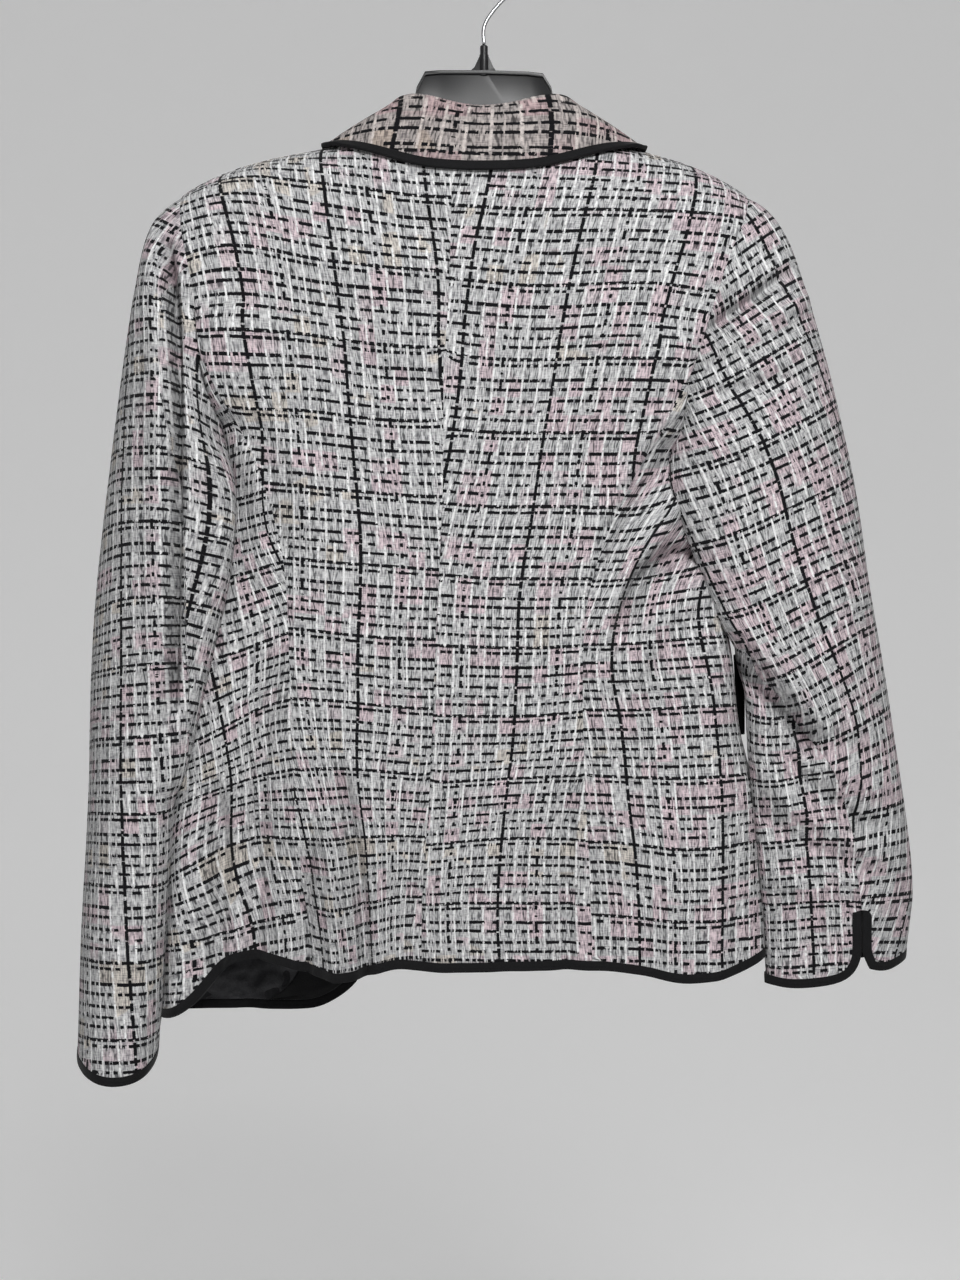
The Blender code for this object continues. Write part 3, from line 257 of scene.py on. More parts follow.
# How far the yarns sway, in repeats.
WARP_SWAY = (("long sway of warps", 0.016), ("short sway of warps", 0.012))
WEFT_SWAY = (("long sway of wefts", 0.02), ("short sway of wefts", 0.022))
# Soft steps: the values where each starts and ends, and what it gives there. The pinker side reads x + 0.5 m,
# and the sandy shoulders z + 1 m.
STEPS = {
    "between bars": ((0.1, 1), (0.17, 0), (0.83, 0), (0.9, 1)),
    "dark warps": ((0.39, 0.15), (0.45, 1)),
    "dark yarns": ((0.3, 0), (0.62, 1)),
    "ground": ((0.38, 0), (0.6, 1)),
    "band strokes": ((0.42, 0), (0.54, 1)),
    "band patches": ((0.3, 1), (0.62, 0.6)),
    "pinker side": ((0.22, 0), (0.5, 0.08), (0.78, 0.36)),
    "pink": ((0.8, 0), (0.95, 0.8)),
    "sandy shoulders": ((0.83, 0), (0.93, 0.32)),
    "sand": ((-0.06, 0.7), (0.02, 0)),
    "white threads": ((0.35, 0), (0.6, 1)),
    "white wear": ((0.38, 0.25), (0.54, 1)),
}
# Dark bars of a row and cells down in one repeat, and the colour blocks across and down.
BARS = 15.0
ROW_CELLS = 15.0
BLOCKS = (6.0, 4.0)
# How much the threads and patches count, and the limits above which something shows.
ROUGH_BARS, PATCHY_BARS, BAR_BIAS, OPEN_BARS = 0.8, 0.3, 0.12, 0.92
PARTED_LIMIT, CLOSED_LIMIT, OVER_LIMIT, ROUGH_BANDS = 0.35, 0.58, 0.38, 0.25
WEAR_MIX, GROUND_MIX = (0.2, 0.8), (0.3, 0.7)
FUZZY_EDGES, TINT_SPREAD = 0.7, 1.6
# Heights of the white yarns, the dark rows and the fuzz in the relief.
RELIEF_MIX = (0.6, 0.35, 0.7)
# Keeps the solid dark warp, which lies on the repeat's edge, whole in its ramp.
SOLID_SHIFT = 0.1
# A layer of random values of its own, for the gaps between bars.
PARTED_CHANCE = 3.0
# The full and the whole width of a yarn, from its middle.
YARN_CORE, YARN_EDGE = 0.3, 0.6
# Soft ends of the dashes and of the white yarn's change, and how much wider the rows' cover is, in mm.
SOFT_DASH, SOFT_CHANGE, COVER = 0.9, 3.0, 1.6

# Folds: reach, push across, push towards the back (inwards below zero), in mm, and the line of each
# as x and z, as the back camera sees it. The hidden sides have the same folds, shallower and the other way.
BODY_FOLDS = (
    (6.1, 0, -18, 160, -406, 128, -408, 105, -424, 87, -466),
    (6.1, 0, 10.5, 140, -356, 122, -391, 101, -419, 79, -473),
    (5.4, 0, -6, 133, -330, 106, -371, 78, -432),
    (6.1, 0, 6, 128, -306, 102, -345, 71, -398),
    (6.8, 0, 4.5, 151, -432, 120, -453, 101, -500),
    (4.8, 0, -7.5, -178, -320, -171, -357, -175, -412, -184, -473),
    (8.2, 0, 6, -162, -317, -151, -371, -151, -439),
    (4.8, 0, -4.5, -169, -313, -147, -351, -136, -412),
    (6.8, 0, 4.5, -151, -306, -125, -351, -117, -398),
    (6.8, 0, -9, -141, -473, -151, -534, -154, -616, -156, -738),
    (8.2, 0, 4.5, -125, -493, -125, -561, -132, -616),
    (4.8, 0, -12, -99, -548, -89, -602, -83, -643, -79, -725),
    (6.8, 0, 9, -110, -575, -103, -623, -102, -670, -101, -752),
    (3.4, 0, -9, -117, -602, -121, -643, -121, -725),
    (6.1, 0, -12, -182, -561, -178, -616, -184, -738),
    (7.5, 0, 6, -200, -616, -203, -663, -204, -752),
    (8.8, 0, 4.5, 82, -466, 73, -548, 71, -616, 72, -745),
    (6.1, 0, -4.5, 56, -548, 56, -616, 56, -738),
    (9.5, 0, -4.5, 114, -466, 116, -561, 113, -629, 112, -745),
    (8.2, 0, 6, 151, -466, 155, -548, 158, -629, 160, -745),
    (8.8, 0, 3.8, -10, -453, -22, -548, -30, -643, -31, -745),
    (9.5, 0, -3.8, -50, -466, -54, -548, -60, -738),
    (9.5, 0, -2, 18, -507, 18, -589, 16, -738),
    (8.2, 0, -3.8, -105, -170, -44, -182, 38, -177),
    (8.8, 0, 2, -146, -201, -71, -218, -10, -209),
    (8.2, 0, -3.8, 38, -209, 86, -221, 133, -201),
    (8.8, 0, 2, 52, -255, 92, -255, 125, -235),
    (9.5, 0, -3.8, -98, -262, -64, -289, -30, -296),
    (8.2, 0, 2, -174, -235, -139, -255, -105, -255),
    (20.4, -4, 10, -169, -235, -178, -303, -182, -371, -190, -439, -201, -507, -209, -589, -212, -684,
        -214, -779),
    (20.4, 3, 10, 126, -249, 139, -317, 147, -371, 158, -439, 169, -507, 178, -589, 184, -684, 185, -779),
)
SLEEVE_FOLDS = {
    "left": (
        (3.4, 0, -22.1, -216, -191, -211, -235, -209, -303, -209, -385, -211, -466, -214, -521),
        (6.1, 0, 4.2, -226, -235, -223, -317, -224, -412, -226, -507),
        (6.1, 0, 4.2, -194, -289, -193, -337, -197, -412),
        (5.4, 0, -5.1, -201, -235, -185, -269, -175, -303),
        (6.1, 0, 4.2, -203, -215, -189, -235, -180, -255),
        (6.1, 0, -2, -275, -412, -248, -404, -217, -409),
        (6.1, 0, 2, -275, -521, -244, -507, -215, -515),
        (6.1, 0, -2, -276, -616, -248, -629, -216, -624),
        (6.8, 0, 2, -275, -677, -245, -685, -219, -674),
        (9.5, 9, 0, -196, -242, -184, -296, -178, -337, -180, -398, -189, -466, -200, -521, -204, -575),
    ),
    "right": (
        (4.1, 0, -13.6, 141, -261, 160, -250, 182, -235, 212, -212),
        (6.1, 0, 6.8, 147, -277, 175, -261, 205, -243, 233, -228),
        (3.4, 0, -6, 190, -193, 199, -206, 211, -227),
        (6.1, 0, 4.2, 151, -235, 174, -219, 189, -209),
        (5.4, 0, -5.1, 140, -303, 174, -296, 215, -284),
        (6.1, 0, 2, 147, -338, 181, -334, 228, -323),
        (5.4, 0, -22.1, 155, -459, 173, -480, 192, -502, 208, -519, 230, -549),
        (7.5, 0, 10.2, 166, -447, 190, -476, 215, -503, 243, -537),
        (5.4, 0, -8.5, 193, -518, 215, -559, 246, -583, 280, -601),
        (5.4, 0, 6, 181, -545, 208, -580, 245, -599, 276, -620),
        (5.4, 0, -6, 174, -568, 205, -599, 242, -617, 273, -632),
        (5.4, 0, 5.1, 223, -534, 246, -559, 277, -575),
        (5.4, 0, -5.1, 234, -525, 254, -540, 275, -548),
        (6.1, 0, 4.2, 171, -609, 201, -629, 235, -640),
        (4.1, 0, -4.2, 182, -500, 180, -534, 185, -568),
        (10.9, -9, 0, 128, -255, 132, -317, 135, -357, 144, -391, 156, -432, 166, -473),
        (9.5, -3, 0, 162, -446, 169, -473, 180, -521, 188, -589, 192, -684, 193, -738),
    ),
}
# Where a fold starts and how deep it is before it has its full push, in metres: body and sleeves.
FOLD_START = {"body": (18 * MM, 28 * MM), "sleeve": (-4 * MM, 12 * MM)}
FOLD_STEPS = 60
FOLD_SMOOTHING = 12
FOLD_END = 28 * MM
# The folds' share on the hidden side, and the deepest push that is repeated there, in mm.
HIDDEN_SHARE = 0.6
DEEPEST_HIDDEN = 9
# Sizes and heights of the soft noise on cloths, tapes and the lining.
RUMPLE = ((30 * MM, 0.9 * MM), (11 * MM, 0.35 * MM))
TAPE_PUCKERS = ((7 * MM, 0.4 * MM),)
LINING_CRINKLES = ((16 * MM, 4.0 * MM), (7 * MM, 1.5 * MM))

# Ground greys, band greys and slub whites, dark yarns, and the pink and sand tints.
GROUND = ("808083", "d8d8d8", "3e3f41", "b4b5b6", "e0e0e0", "ffffff")
DARK = ("08080a", "1e1e21")
TINTS = ((1.1, 0.88, 0.94), (1.08, 0.98, 0.86))

# The plain materials: colours, the scale, detail, height in mm and strength of their grain, and their shine.
FINISHES = table(
    "name dark light scale detail relief strength roughness specular sheen metallic",
    ("inside", "17171a", "2a2a2e", 900, 2, 0.3, 0.7, 0.45, 0.25, 0.1, 0),
    ("binding", "070708", "1a1a1c", 900, 2, 0.3, 0.7, 0.92, 0.25, 0.08, 0),
    ("facing", "0b0b0c", "1a1a1c", 900, 2, 0.3, 0.7, 0.7, 0.25, 0.1, 0),
    ("lining", "2e2e31", "4a4a4d", 900, 2, 0.3, 0.7, 0.35, 0.25, 0.1, 0),
    ("hanger_plastic", "0d0d0e", "1c1c1e", 1400, 1, 0.08, 0.5, 0.38, 0.5, 0, 0),
    ("hook_steel", "a8a8aa", "d4d4d6", 700, 2, 0.03, 0.4, 0.25, 0.5, 0, 1),
)

# The other pieces: a part of their nodes' names, the rounding in mm, the levels of smoothing, the crinkles.
PIECES = table(
    "key slot width levels crinkle",
    ("binding", "binding", 0.7, 2, TAPE_PUCKERS),
    ("pocket_edge", "binding", 0.7, 2, TAPE_PUCKERS),
    ("facing", "facing", 0.3, 2, ()),
    ("lining", "lining", 0.3, 3, LINING_CRINKLES),
    ("hanger_body", "hanger_plastic", 0.6, 0, ()),
    ("hanger_hook", "hook_steel", 0.0, 1, ()),
)

# Levels of smoothing of the tweed panels, and the panels that need fewer faces.
FINE_LEVELS, COARSE_LEVELS = 3, 2
COARSE = ("front_left", "front_right", "collar")

# The right sleeve's hind seam from under the arm to the vent, in mm as the back camera sees it, and how far
# points that it doesn't see count as being off the seam.
RIGHT_HIND_SEAM = (
    170.7, -469.5, 180.9, -476.3, 187, -489.9, 202.6, -505.6, 215.6, -524.6, 227.8, -540.3, 238.7, -557.9,
    247.5, -581.7, 253, -615.7, 257, -651.1, 259.8, -704.1,
)
SEAM_SIDE = 10 * MM
SLEEVE_FLAT = (0.33, 0.58)
# How far the two halves of the right sleeve lie apart, and how far every panel reaches over its seams.
SEAM_JOIN = 0.45 * MM
SEAM_OVERLAP = 0.45 * MM
RIM_BEVEL = 0.7 * MM
CLOTH_ANGLE, PIECE_ANGLE, EDGE_ANGLE, JOIN_ANGLE = (math.radians(degrees) for degrees in (60, 50, 40, 12))

CAMERA_TARGET = Vector((-0.0027, 0.0, -0.4662))
CAMERA_DISTANCE = 1.6
CAMERA_LENS = 66.2
CAMERA_SENSOR = 36.0
EYE = np.array([CAMERA_TARGET.x, -CAMERA_DISTANCE, CAMERA_TARGET.z])

# The studio: lights, the bowl's outline as radius and height, and how its far side glows.
LIGHTS = table(
    "name place size power",
    ("key", (0.35, -1.9, 0.55), 0.7, 1.0),
    ("fill", (-1.7, -1.7, -0.6), 1.2, 0.26),
    ("top", (0.1, -0.9, 1.7), 0.8, 0.2),
)
LIGHT_SPREAD = math.radians(95)
BOWL = ((0.02, -1.25), (2.6, -1.25), (3.3, -1.15), (3.9, -0.8), (4.3, -0.1), (4.5, 1.0), (4.5, 3.5))
BOWL_STEPS = 64
GLOW_SCALE = 0.1
GLOW = ((0.54, 0.0), (0.63, 0.22))
WORLD_LIGHT = 0.12
BOUNCES, SOFT_BOUNCES = 4, 2

WELD = 2e-6
RIM_TOLERANCE = 2e-5
# A distance beyond everything, in metres, and the least weight of a point in turning a cut upright.
FAR = 9.0
LEAST_WEIGHT = 0.02


# Small helpers for objects and meshes.


def only(*objects):
    """Selects just these objects, the last of them active."""
    bpy.ops.object.select_all(action="DESELECT")
    for item in objects:
        item.select_set(True)
        bpy.context.view_layer.objects.active = item


def apply_modifier(item, kind, **settings):
    """Adds one modifier with these settings and applies it."""
    modifier = item.modifiers.new(kind, kind)
    for name, value in settings.items():
        setattr(modifier, name, value)
    only(item)
    bpy.ops.object.modifier_apply(modifier=modifier.name)


def new_object(name, mesh_data):
    """An object at the origin from a bmesh, which is freed."""
    mesh = bpy.data.meshes.new(name)
    mesh_data.to_mesh(mesh)
    mesh_data.free()
    item = bpy.data.objects.new(name, mesh)
    bpy.context.scene.collection.objects.link(item)
    return item


def points_of(item):
    """The vertices of a mesh as rows."""
    flat = np.empty(len(item.data.vertices) * 3)
    item.data.vertices.foreach_get("co", flat)
    return flat.reshape(-1, 3)


def normals_of(item):
    """The vertex normals of a mesh as rows."""
    return np.array([v.normal[:] for v in item.data.vertices])


def move_points(item, points):
    """Writes the vertices of a mesh back."""
    item.data.vertices.foreach_set("co", points.reshape(-1))
    item.data.update()


def merged_copy(node):
    """A bmesh copy of a CAD node with its loose triangles joined."""
    copy = bmesh.new()
    copy.from_mesh(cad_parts[node].data)
    bmesh.ops.remove_doubles(copy, verts=copy.verts, dist=WELD)
    copy.normal_update()
    return copy


def loose_parts(mesh):
    """The connected groups of faces."""
    seen, parts = set(), []
    for first in mesh.faces:
        if first in seen:
            continue
        seen.add(first)
        part, waiting = [], [first]
        while waiting:
            face = waiting.pop()
            part.append(face)
            for edge in face.edges:
                for other in edge.link_faces:
                    if other not in seen:
                        seen.add(other)
                        waiting.append(other)
        parts.append(part)
    return parts


def outer_side(node, thickness, facing):
    """The outer side of a CAD cloth wall as a sheet of quads."""
    walls = merged_copy(node)
    rims = [
        face
        for face in walls.faces
        if any(abs(edge.calc_length() - thickness) < RIM_TOLERANCE for edge in face.edges)
    ]
    bmesh.ops.delete(walls, geom=rims, context="FACES")
    way = Vector(facing)
    parts = loose_parts(walls)
    keep = max(parts, key=lambda part: sum(face.normal.dot(way) * face.calc_area() for face in part))
    others = [face for part in parts if part is not keep for face in part]
    bmesh.ops.delete(walls, geom=others, context="FACES")
    bmesh.ops.join_triangles(
        walls, faces=walls.faces[:], angle_face_threshold=math.pi, angle_shape_threshold=math.pi
    )
    return new_object(node + "_cloth", walls)


# Folds.


def fold_share(seen, reach, path):
    """How much of one fold's push reaches each point: full on its line, none past its reach and its ends."""
    line = np.reshape(path, (-1, 2)) * MM
    lengths = np.concatenate([[0], np.cumsum(np.hypot(*np.diff(line, axis=0).T))])
    steps = np.linspace(0, 1, FOLD_STEPS)
    fine = np.stack([np.interp(steps * lengths[-1], lengths, line[:, k]) for k in (0, 1)], axis=1)
    for _ in range(FOLD_SMOOTHING):
        fine[1:-1] = (fine[:-2] + 2 * fine[1:-1] + fine[2:]) / 4
    gaps = np.hypot(*(seen[:, None] - fine[None]).transpose(2, 0, 1))
    nearest = gaps.argmin(axis=1)
    way = np.gradient(fine, axis=0)
    way = (way / np.hypot(*way.T)[:, None])[nearest]
    off = seen - fine[nearest]
    ahead = (off * way).sum(1)
    step = lengths[-1] / FOLD_STEPS
    gap = np.hypot(off[:, 0] * way[:, 1] - off[:, 1] * way[:, 0], np.maximum(np.abs(ahead) - step, 0))
    along = steps[nearest] * lengths[-1] + np.clip(ahead, -step, step)
    ends = np.clip(along / FOLD_END, 0, 1) * np.clip((lengths[-1] - along) / FOLD_END, 0, 1)
    return np.exp(-((gap / (reach * MM)) ** 2)) * ends * (2 - ends)


def folds_of(node):
    """The folds that run over a node, and whether it belongs to the body or a sleeve."""
    if "sleeve" in node or "cuff" in node:
        return SLEEVE_FOLDS["left" if "left" in node else "right"], "sleeve"
    return ([], "body") if "collar" in node else (BODY_FOLDS, "body")


def rumple(points, size, height):
    """A soft noise along y, one value for each point."""
    return [height * noise.noise(Vector(point) / size) for point in points]


def shape_folds(item, rows, kind):
    """Pushes a piece into the folds of its sleeve or body, and rumples it a little."""
    points = points_of(item)
    seen = seen_place(points)
    start, depth = FOLD_START[kind]
    facing = np.clip((start - points[:, 1]) / depth, 0, 1)
    turned = np.clip((points[:, 1] + start) / depth, 0, 1) * HIDDEN_SHARE
    mirrored = seen * (-1, 1) if kind == "body" else seen
    moved = np.zeros_like(points)
    for reach, across, back, *path in rows:
        share = fold_share(seen, reach, path) * facing
        moved[:, 0] += share * across * MM
        moved[:, 1] -= share * back * MM
        if abs(back) < DEEPEST_HIDDEN:
            moved[:, 1] += fold_share(mirrored, reach, path) * turned * back * MM
    for size, height in RUMPLE:
        moved[:, 1] += rumple(points, size, height)
    move_points(item, points + moved)


# The flat cut and its yarns.


def widen_rims(item, width):
    """Moves the free edges of a sheet outwards along it, so that seams stay closed."""
    mesh = bmesh.new()
    mesh.from_mesh(item.data)
    moves = {}
    for edge in mesh.edges:
        if not edge.is_boundary:
            continue
        along = (edge.verts[1].co - edge.verts[0].co).normalized()
        out = (edge.verts[0].co + edge.verts[1].co) / 2 - edge.link_faces[0].calc_center_median()
        out = (out - along * out.dot(along)).normalized()
        for vertex in edge.verts:
            moves.setdefault(vertex, []).append(out)
    for vertex, ways in moves.items():
        vertex.co += sum(ways, Vector()).normalized() * width
    mesh.to_mesh(item.data)
    mesh.free()


def lay_flat(item, layer_name="UVMap"):
    """Gives a sheet its flattened shape as a UV map."""
    only(item)
    bpy.ops.object.mode_set(mode="EDIT")
    bpy.ops.mesh.select_all(action="SELECT")
    bpy.ops.uv.unwrap(method="ANGLE_BASED", margin=0.0)
    bpy.ops.object.mode_set(mode="OBJECT")
    item.data.uv_layers.active.name = layer_name


def seen_place(points):
    """Where the back camera sees points, in the plane through the hook."""
    share = CAMERA_DISTANCE / (CAMERA_DISTANCE + points[:, 1])
    return EYE[[0, 2]] + (points[:, [0, 2]] - EYE[[0, 2]]) * share[:, None]


def squareness(points, normals):
    """How squarely each point faces the back camera, from one down to below zero where it is turned away."""
    sight = EYE - points
    return (sight / np.linalg.norm(sight, axis=1)[:, None] * normals).sum(1)


def cut_size(flat, points, normals, triangles, seen):
    """The flattened shape of a sheet, true to size in metres and turned to hang as the sheet does."""
    a, b, c = (flat[triangles[:, k]] for k in range(3))
    flat_area = np.abs((b - a)[:, 0] * (c - a)[:, 1] - (b - a)[:, 1] * (c - a)[:, 0]).sum()
    a, b, c = (points[triangles[:, k]] for k in range(3))
    true_area = np.linalg.norm(np.cross(b - a, c - a), axis=1).sum()
    used = np.unique(triangles)
    weight = np.clip(-normals[used, 1] if seen else np.abs(normals[used, 1]), LEAST_WEIGHT, 1)[:, None]
    place = np.stack([points[used, 0], -points[used, 2]], axis=1)
    middle = (flat[used] * weight).sum(0) / weight.sum()
    place_middle = (place * weight).sum(0) / weight.sum()
    turn = np.linalg.lstsq((flat[used] - middle) * weight, (place - place_middle) * weight, rcond=None)[0]
    left, _, right = np.linalg.svd(turn)
    return (flat - middle) @ (left @ right) * math.sqrt(true_area / flat_area) + place_middle


def through_marks(marks, values, places):
    """Values at places from a smooth surface through the marks, which levels out away from them."""

    def kernel(first, second):
        gap = ((first[:, None] - second[None]) ** 2).sum(-1)
        return sum(row["share"] ** 2 * np.exp(-gap / (2 * row["reach"] ** 2)) for row in YARN_STRETCH)

    level = values.mean()
    spread = kernel(marks, marks) + np.eye(len(marks)) * YARN_SLIP**2
    return level + kernel(places, marks) @ np.linalg.solve(spread, values - level)


def align_yarns(item, panel, layer_name):
    """Turns the flat shape of a sheet into counts of the check's repeats, across and down."""
    mesh = item.data
    layer = mesh.uv_layers[layer_name]
    corners = np.empty(len(mesh.loops), dtype=np.int32)
    mesh.loops.foreach_get("vertex_index", corners)
    flat_loops = np.empty(len(corners) * 2, dtype=np.float32)
    layer.data.foreach_get("uv", flat_loops)
    flat_loops = flat_loops.reshape(-1, 2).astype(float)
    starts = np.array([face.loop_start for face in mesh.polygons])
    sizes = np.array([face.loop_total for face in mesh.polygons])
    triangles = np.concatenate(
        [np.stack([starts, starts + k, starts + k + 1], axis=1)[sizes > k + 1] for k in (1, 2)]
    )
    points, normals = points_of(item), normals_of(item)
    cut = cut_size(flat_loops, points[corners], normals[corners], triangles, panel in WARP_TRACKS)
    repeats = cut / MM / (WARP_REPEAT, WEFT_REPEAT)
    seen = seen_place(points)
    hidden = squareness(points, normals) <= GRAZING
    first_loop = np.zeros(len(points), dtype=int)
    first_loop[corners] = np.arange(len(corners))
    for axis, tracks in enumerate((WARP_TRACKS, WEFT_TRACKS)):
        marks, wanted = [], []
        for count, first, last, *values in tracks.get(panel, ()):
            track = [values, np.linspace(first, last, len(values))]
            for place in np.transpose(track if axis == 0 else track[::-1]) * MM:
                gaps = np.hypot(*(seen - place).T)
                gaps[hidden] = FAR
                nearest = int(np.argmin(gaps))
                if gaps[nearest] > MARK_REACH:
                    continue
                step = (place - seen[nearest]) * (1, -1) / MM / (WARP_REPEAT, WEFT_REPEAT)
                marks.append(cut[first_loop[nearest]])
                wanted.append(count - repeats[first_loop[nearest], axis] - step[axis])
        if marks:
            repeats[:, axis] += through_marks(np.array(marks), np.array(wanted), cut)
    layer.data.foreach_set("uv", repeats.astype(np.float32).ravel())


# Materials.


class Weaver:
    """Adds and joins the nodes of one material."""

    def __init__(self, name):
        self.material = bpy.data.materials.new(name)
        self.material.use_nodes = True
        self.nodes = self.material.node_tree.nodes
        self.links = self.material.node_tree.links
        self.shader = self.nodes["Principled BSDF"]

    def add(self, kind, **settings):
        node = self.nodes.new(kind)
        for name, value in settings.items():
            setattr(node, name, value)
        return node

    def put(self, socket, value):
        if isinstance(value, bpy.types.NodeSocket):
            self.links.new(value, socket)
        else:
            socket.default_value = value

    def math(self, operation, *values):
        node = self.add("ShaderNodeMath", operation=operation)
        for socket, value in zip(node.inputs, values):
            self.put(socket, value)
        return node.outputs[0]

    def times(self, first, second):
        return self.math("MULTIPLY", first, second)

    def times_plus(self, first, second, third):
        return self.math("MULTIPLY_ADD", first, second, third)

    def above(self, value, limit):
        """One above a limit and zero below it."""
        return self.math("GREATER_THAN", value, limit)

    def less(self, first, second):
        return self.math("SUBTRACT", first, second)

    def place(self):
        """The place on the object."""
        return self.add("ShaderNodeTexCoord").outputs["Object"]

    def split(self, vector):
        """The parts of a vector."""
        node = self.add("ShaderNodeSeparateXYZ")
        self.put(node.inputs[0], vector)
        return node.outputs

    def noise(self, vector, scale, detail):
        node = self.add("ShaderNodeTexNoise", noise_dimensions="3D")
        for name, value in (("Vector", vector), ("Scale", scale), ("Detail", detail)):
            self.put(node.inputs[name], value)
        return node.outputs["Fac"]

    def vector(self, *values):
        node = self.add("ShaderNodeCombineXYZ")
        for socket, value in zip(node.inputs, values):
            self.put(socket, value)
        return node.outputs[0]

    def chance(self, *place):
        """A random value for each whole place."""
        node = self.add("ShaderNodeTexWhiteNoise", noise_dimensions="3D")
        self.put(node.inputs["Vector"], self.vector(*place))
        return node.outputs["Value"]

    def ramp(self, factor, stops):
        """A chart of values along a factor."""
        node = self.add("ShaderNodeValToRGB")
        elements = node.color_ramp.elements
        while len(elements) > 1:
            elements.remove(elements[-1])
        for index, (place, value) in enumerate(stops):
            element = elements[0] if index == 0 else elements.new(place)
            element.position = place
            element.color = (value, value, value, 1)
        self.put(node.inputs[0], factor)
        return node.outputs["Color"]

    def mix(self, factor, first, second, blend="MIX"):
        node = self.add("ShaderNodeMix", data_type="RGBA", blend_type=blend)
        self.put(node.inputs[0], factor)
        for socket, value in zip(node.inputs[6:8], (first, second)):
            self.put(socket, (*value, 1) if isinstance(value, tuple) else value)
        return node.outputs[2]

    def bump(self, height, distance, strength=1.0):
        node = self.add("ShaderNodeBump")
        for name, value in (("Strength", strength), ("Distance", distance), ("Height", height)):
            self.put(node.inputs[name], value)
        self.put(self.shader.inputs["Normal"], node.outputs[0])

    def set(self, **values):
        """Sets uniform values straight on the shader."""
        for name, value in values.items():
            socket = self.shader.inputs[name.replace("_", " ").title().replace("Ior", "IOR")]
            socket.default_value = (*value, 1) if isinstance(value, tuple) else value


def yarn_stops(name, widen=0.0, even=False, shift=0.0):
    """Ramp stops for the soft-edged yarns of a chart across one repeat."""
    repeat = WEFT_REPEAT if "weft" in name else WARP_REPEAT
    stops = []
    for at, width, strength in YARN_CHARTS[name]:
        core, edge = (width + widen) * YARN_CORE, (width + widen) * YARN_EDGE
        level = 1.0 if even else strength
        for offset, value in ((-edge, 0.0), (-core, level), (core, level), (edge, 0.0)):
            stops.append((((at + shift * repeat + offset) / repeat) % 1.0, value))
    return sorted(stops)


def span_stops(spans, edge):
    """Ramp stops that are one inside some spans of a repeat down."""
    stops = []
    for start, end in spans:
        stops += [(start, 0.0), (start + edge, 1.0), (end - edge, 1.0), (end, 0.0)]
    return sorted((place / WEFT_REPEAT, value) for place, value in stops)


def linear(hex_colour):
    """Linear values of a display colour such as d8d8d8."""
    values = [int(hex_colour[i : i + 2], 16) / 255 for i in (0, 2, 4)]
    return tuple(v / 12.92 if v <= 0.04045 else ((v + 0.055) / 1.055) ** 2.4 for v in values)


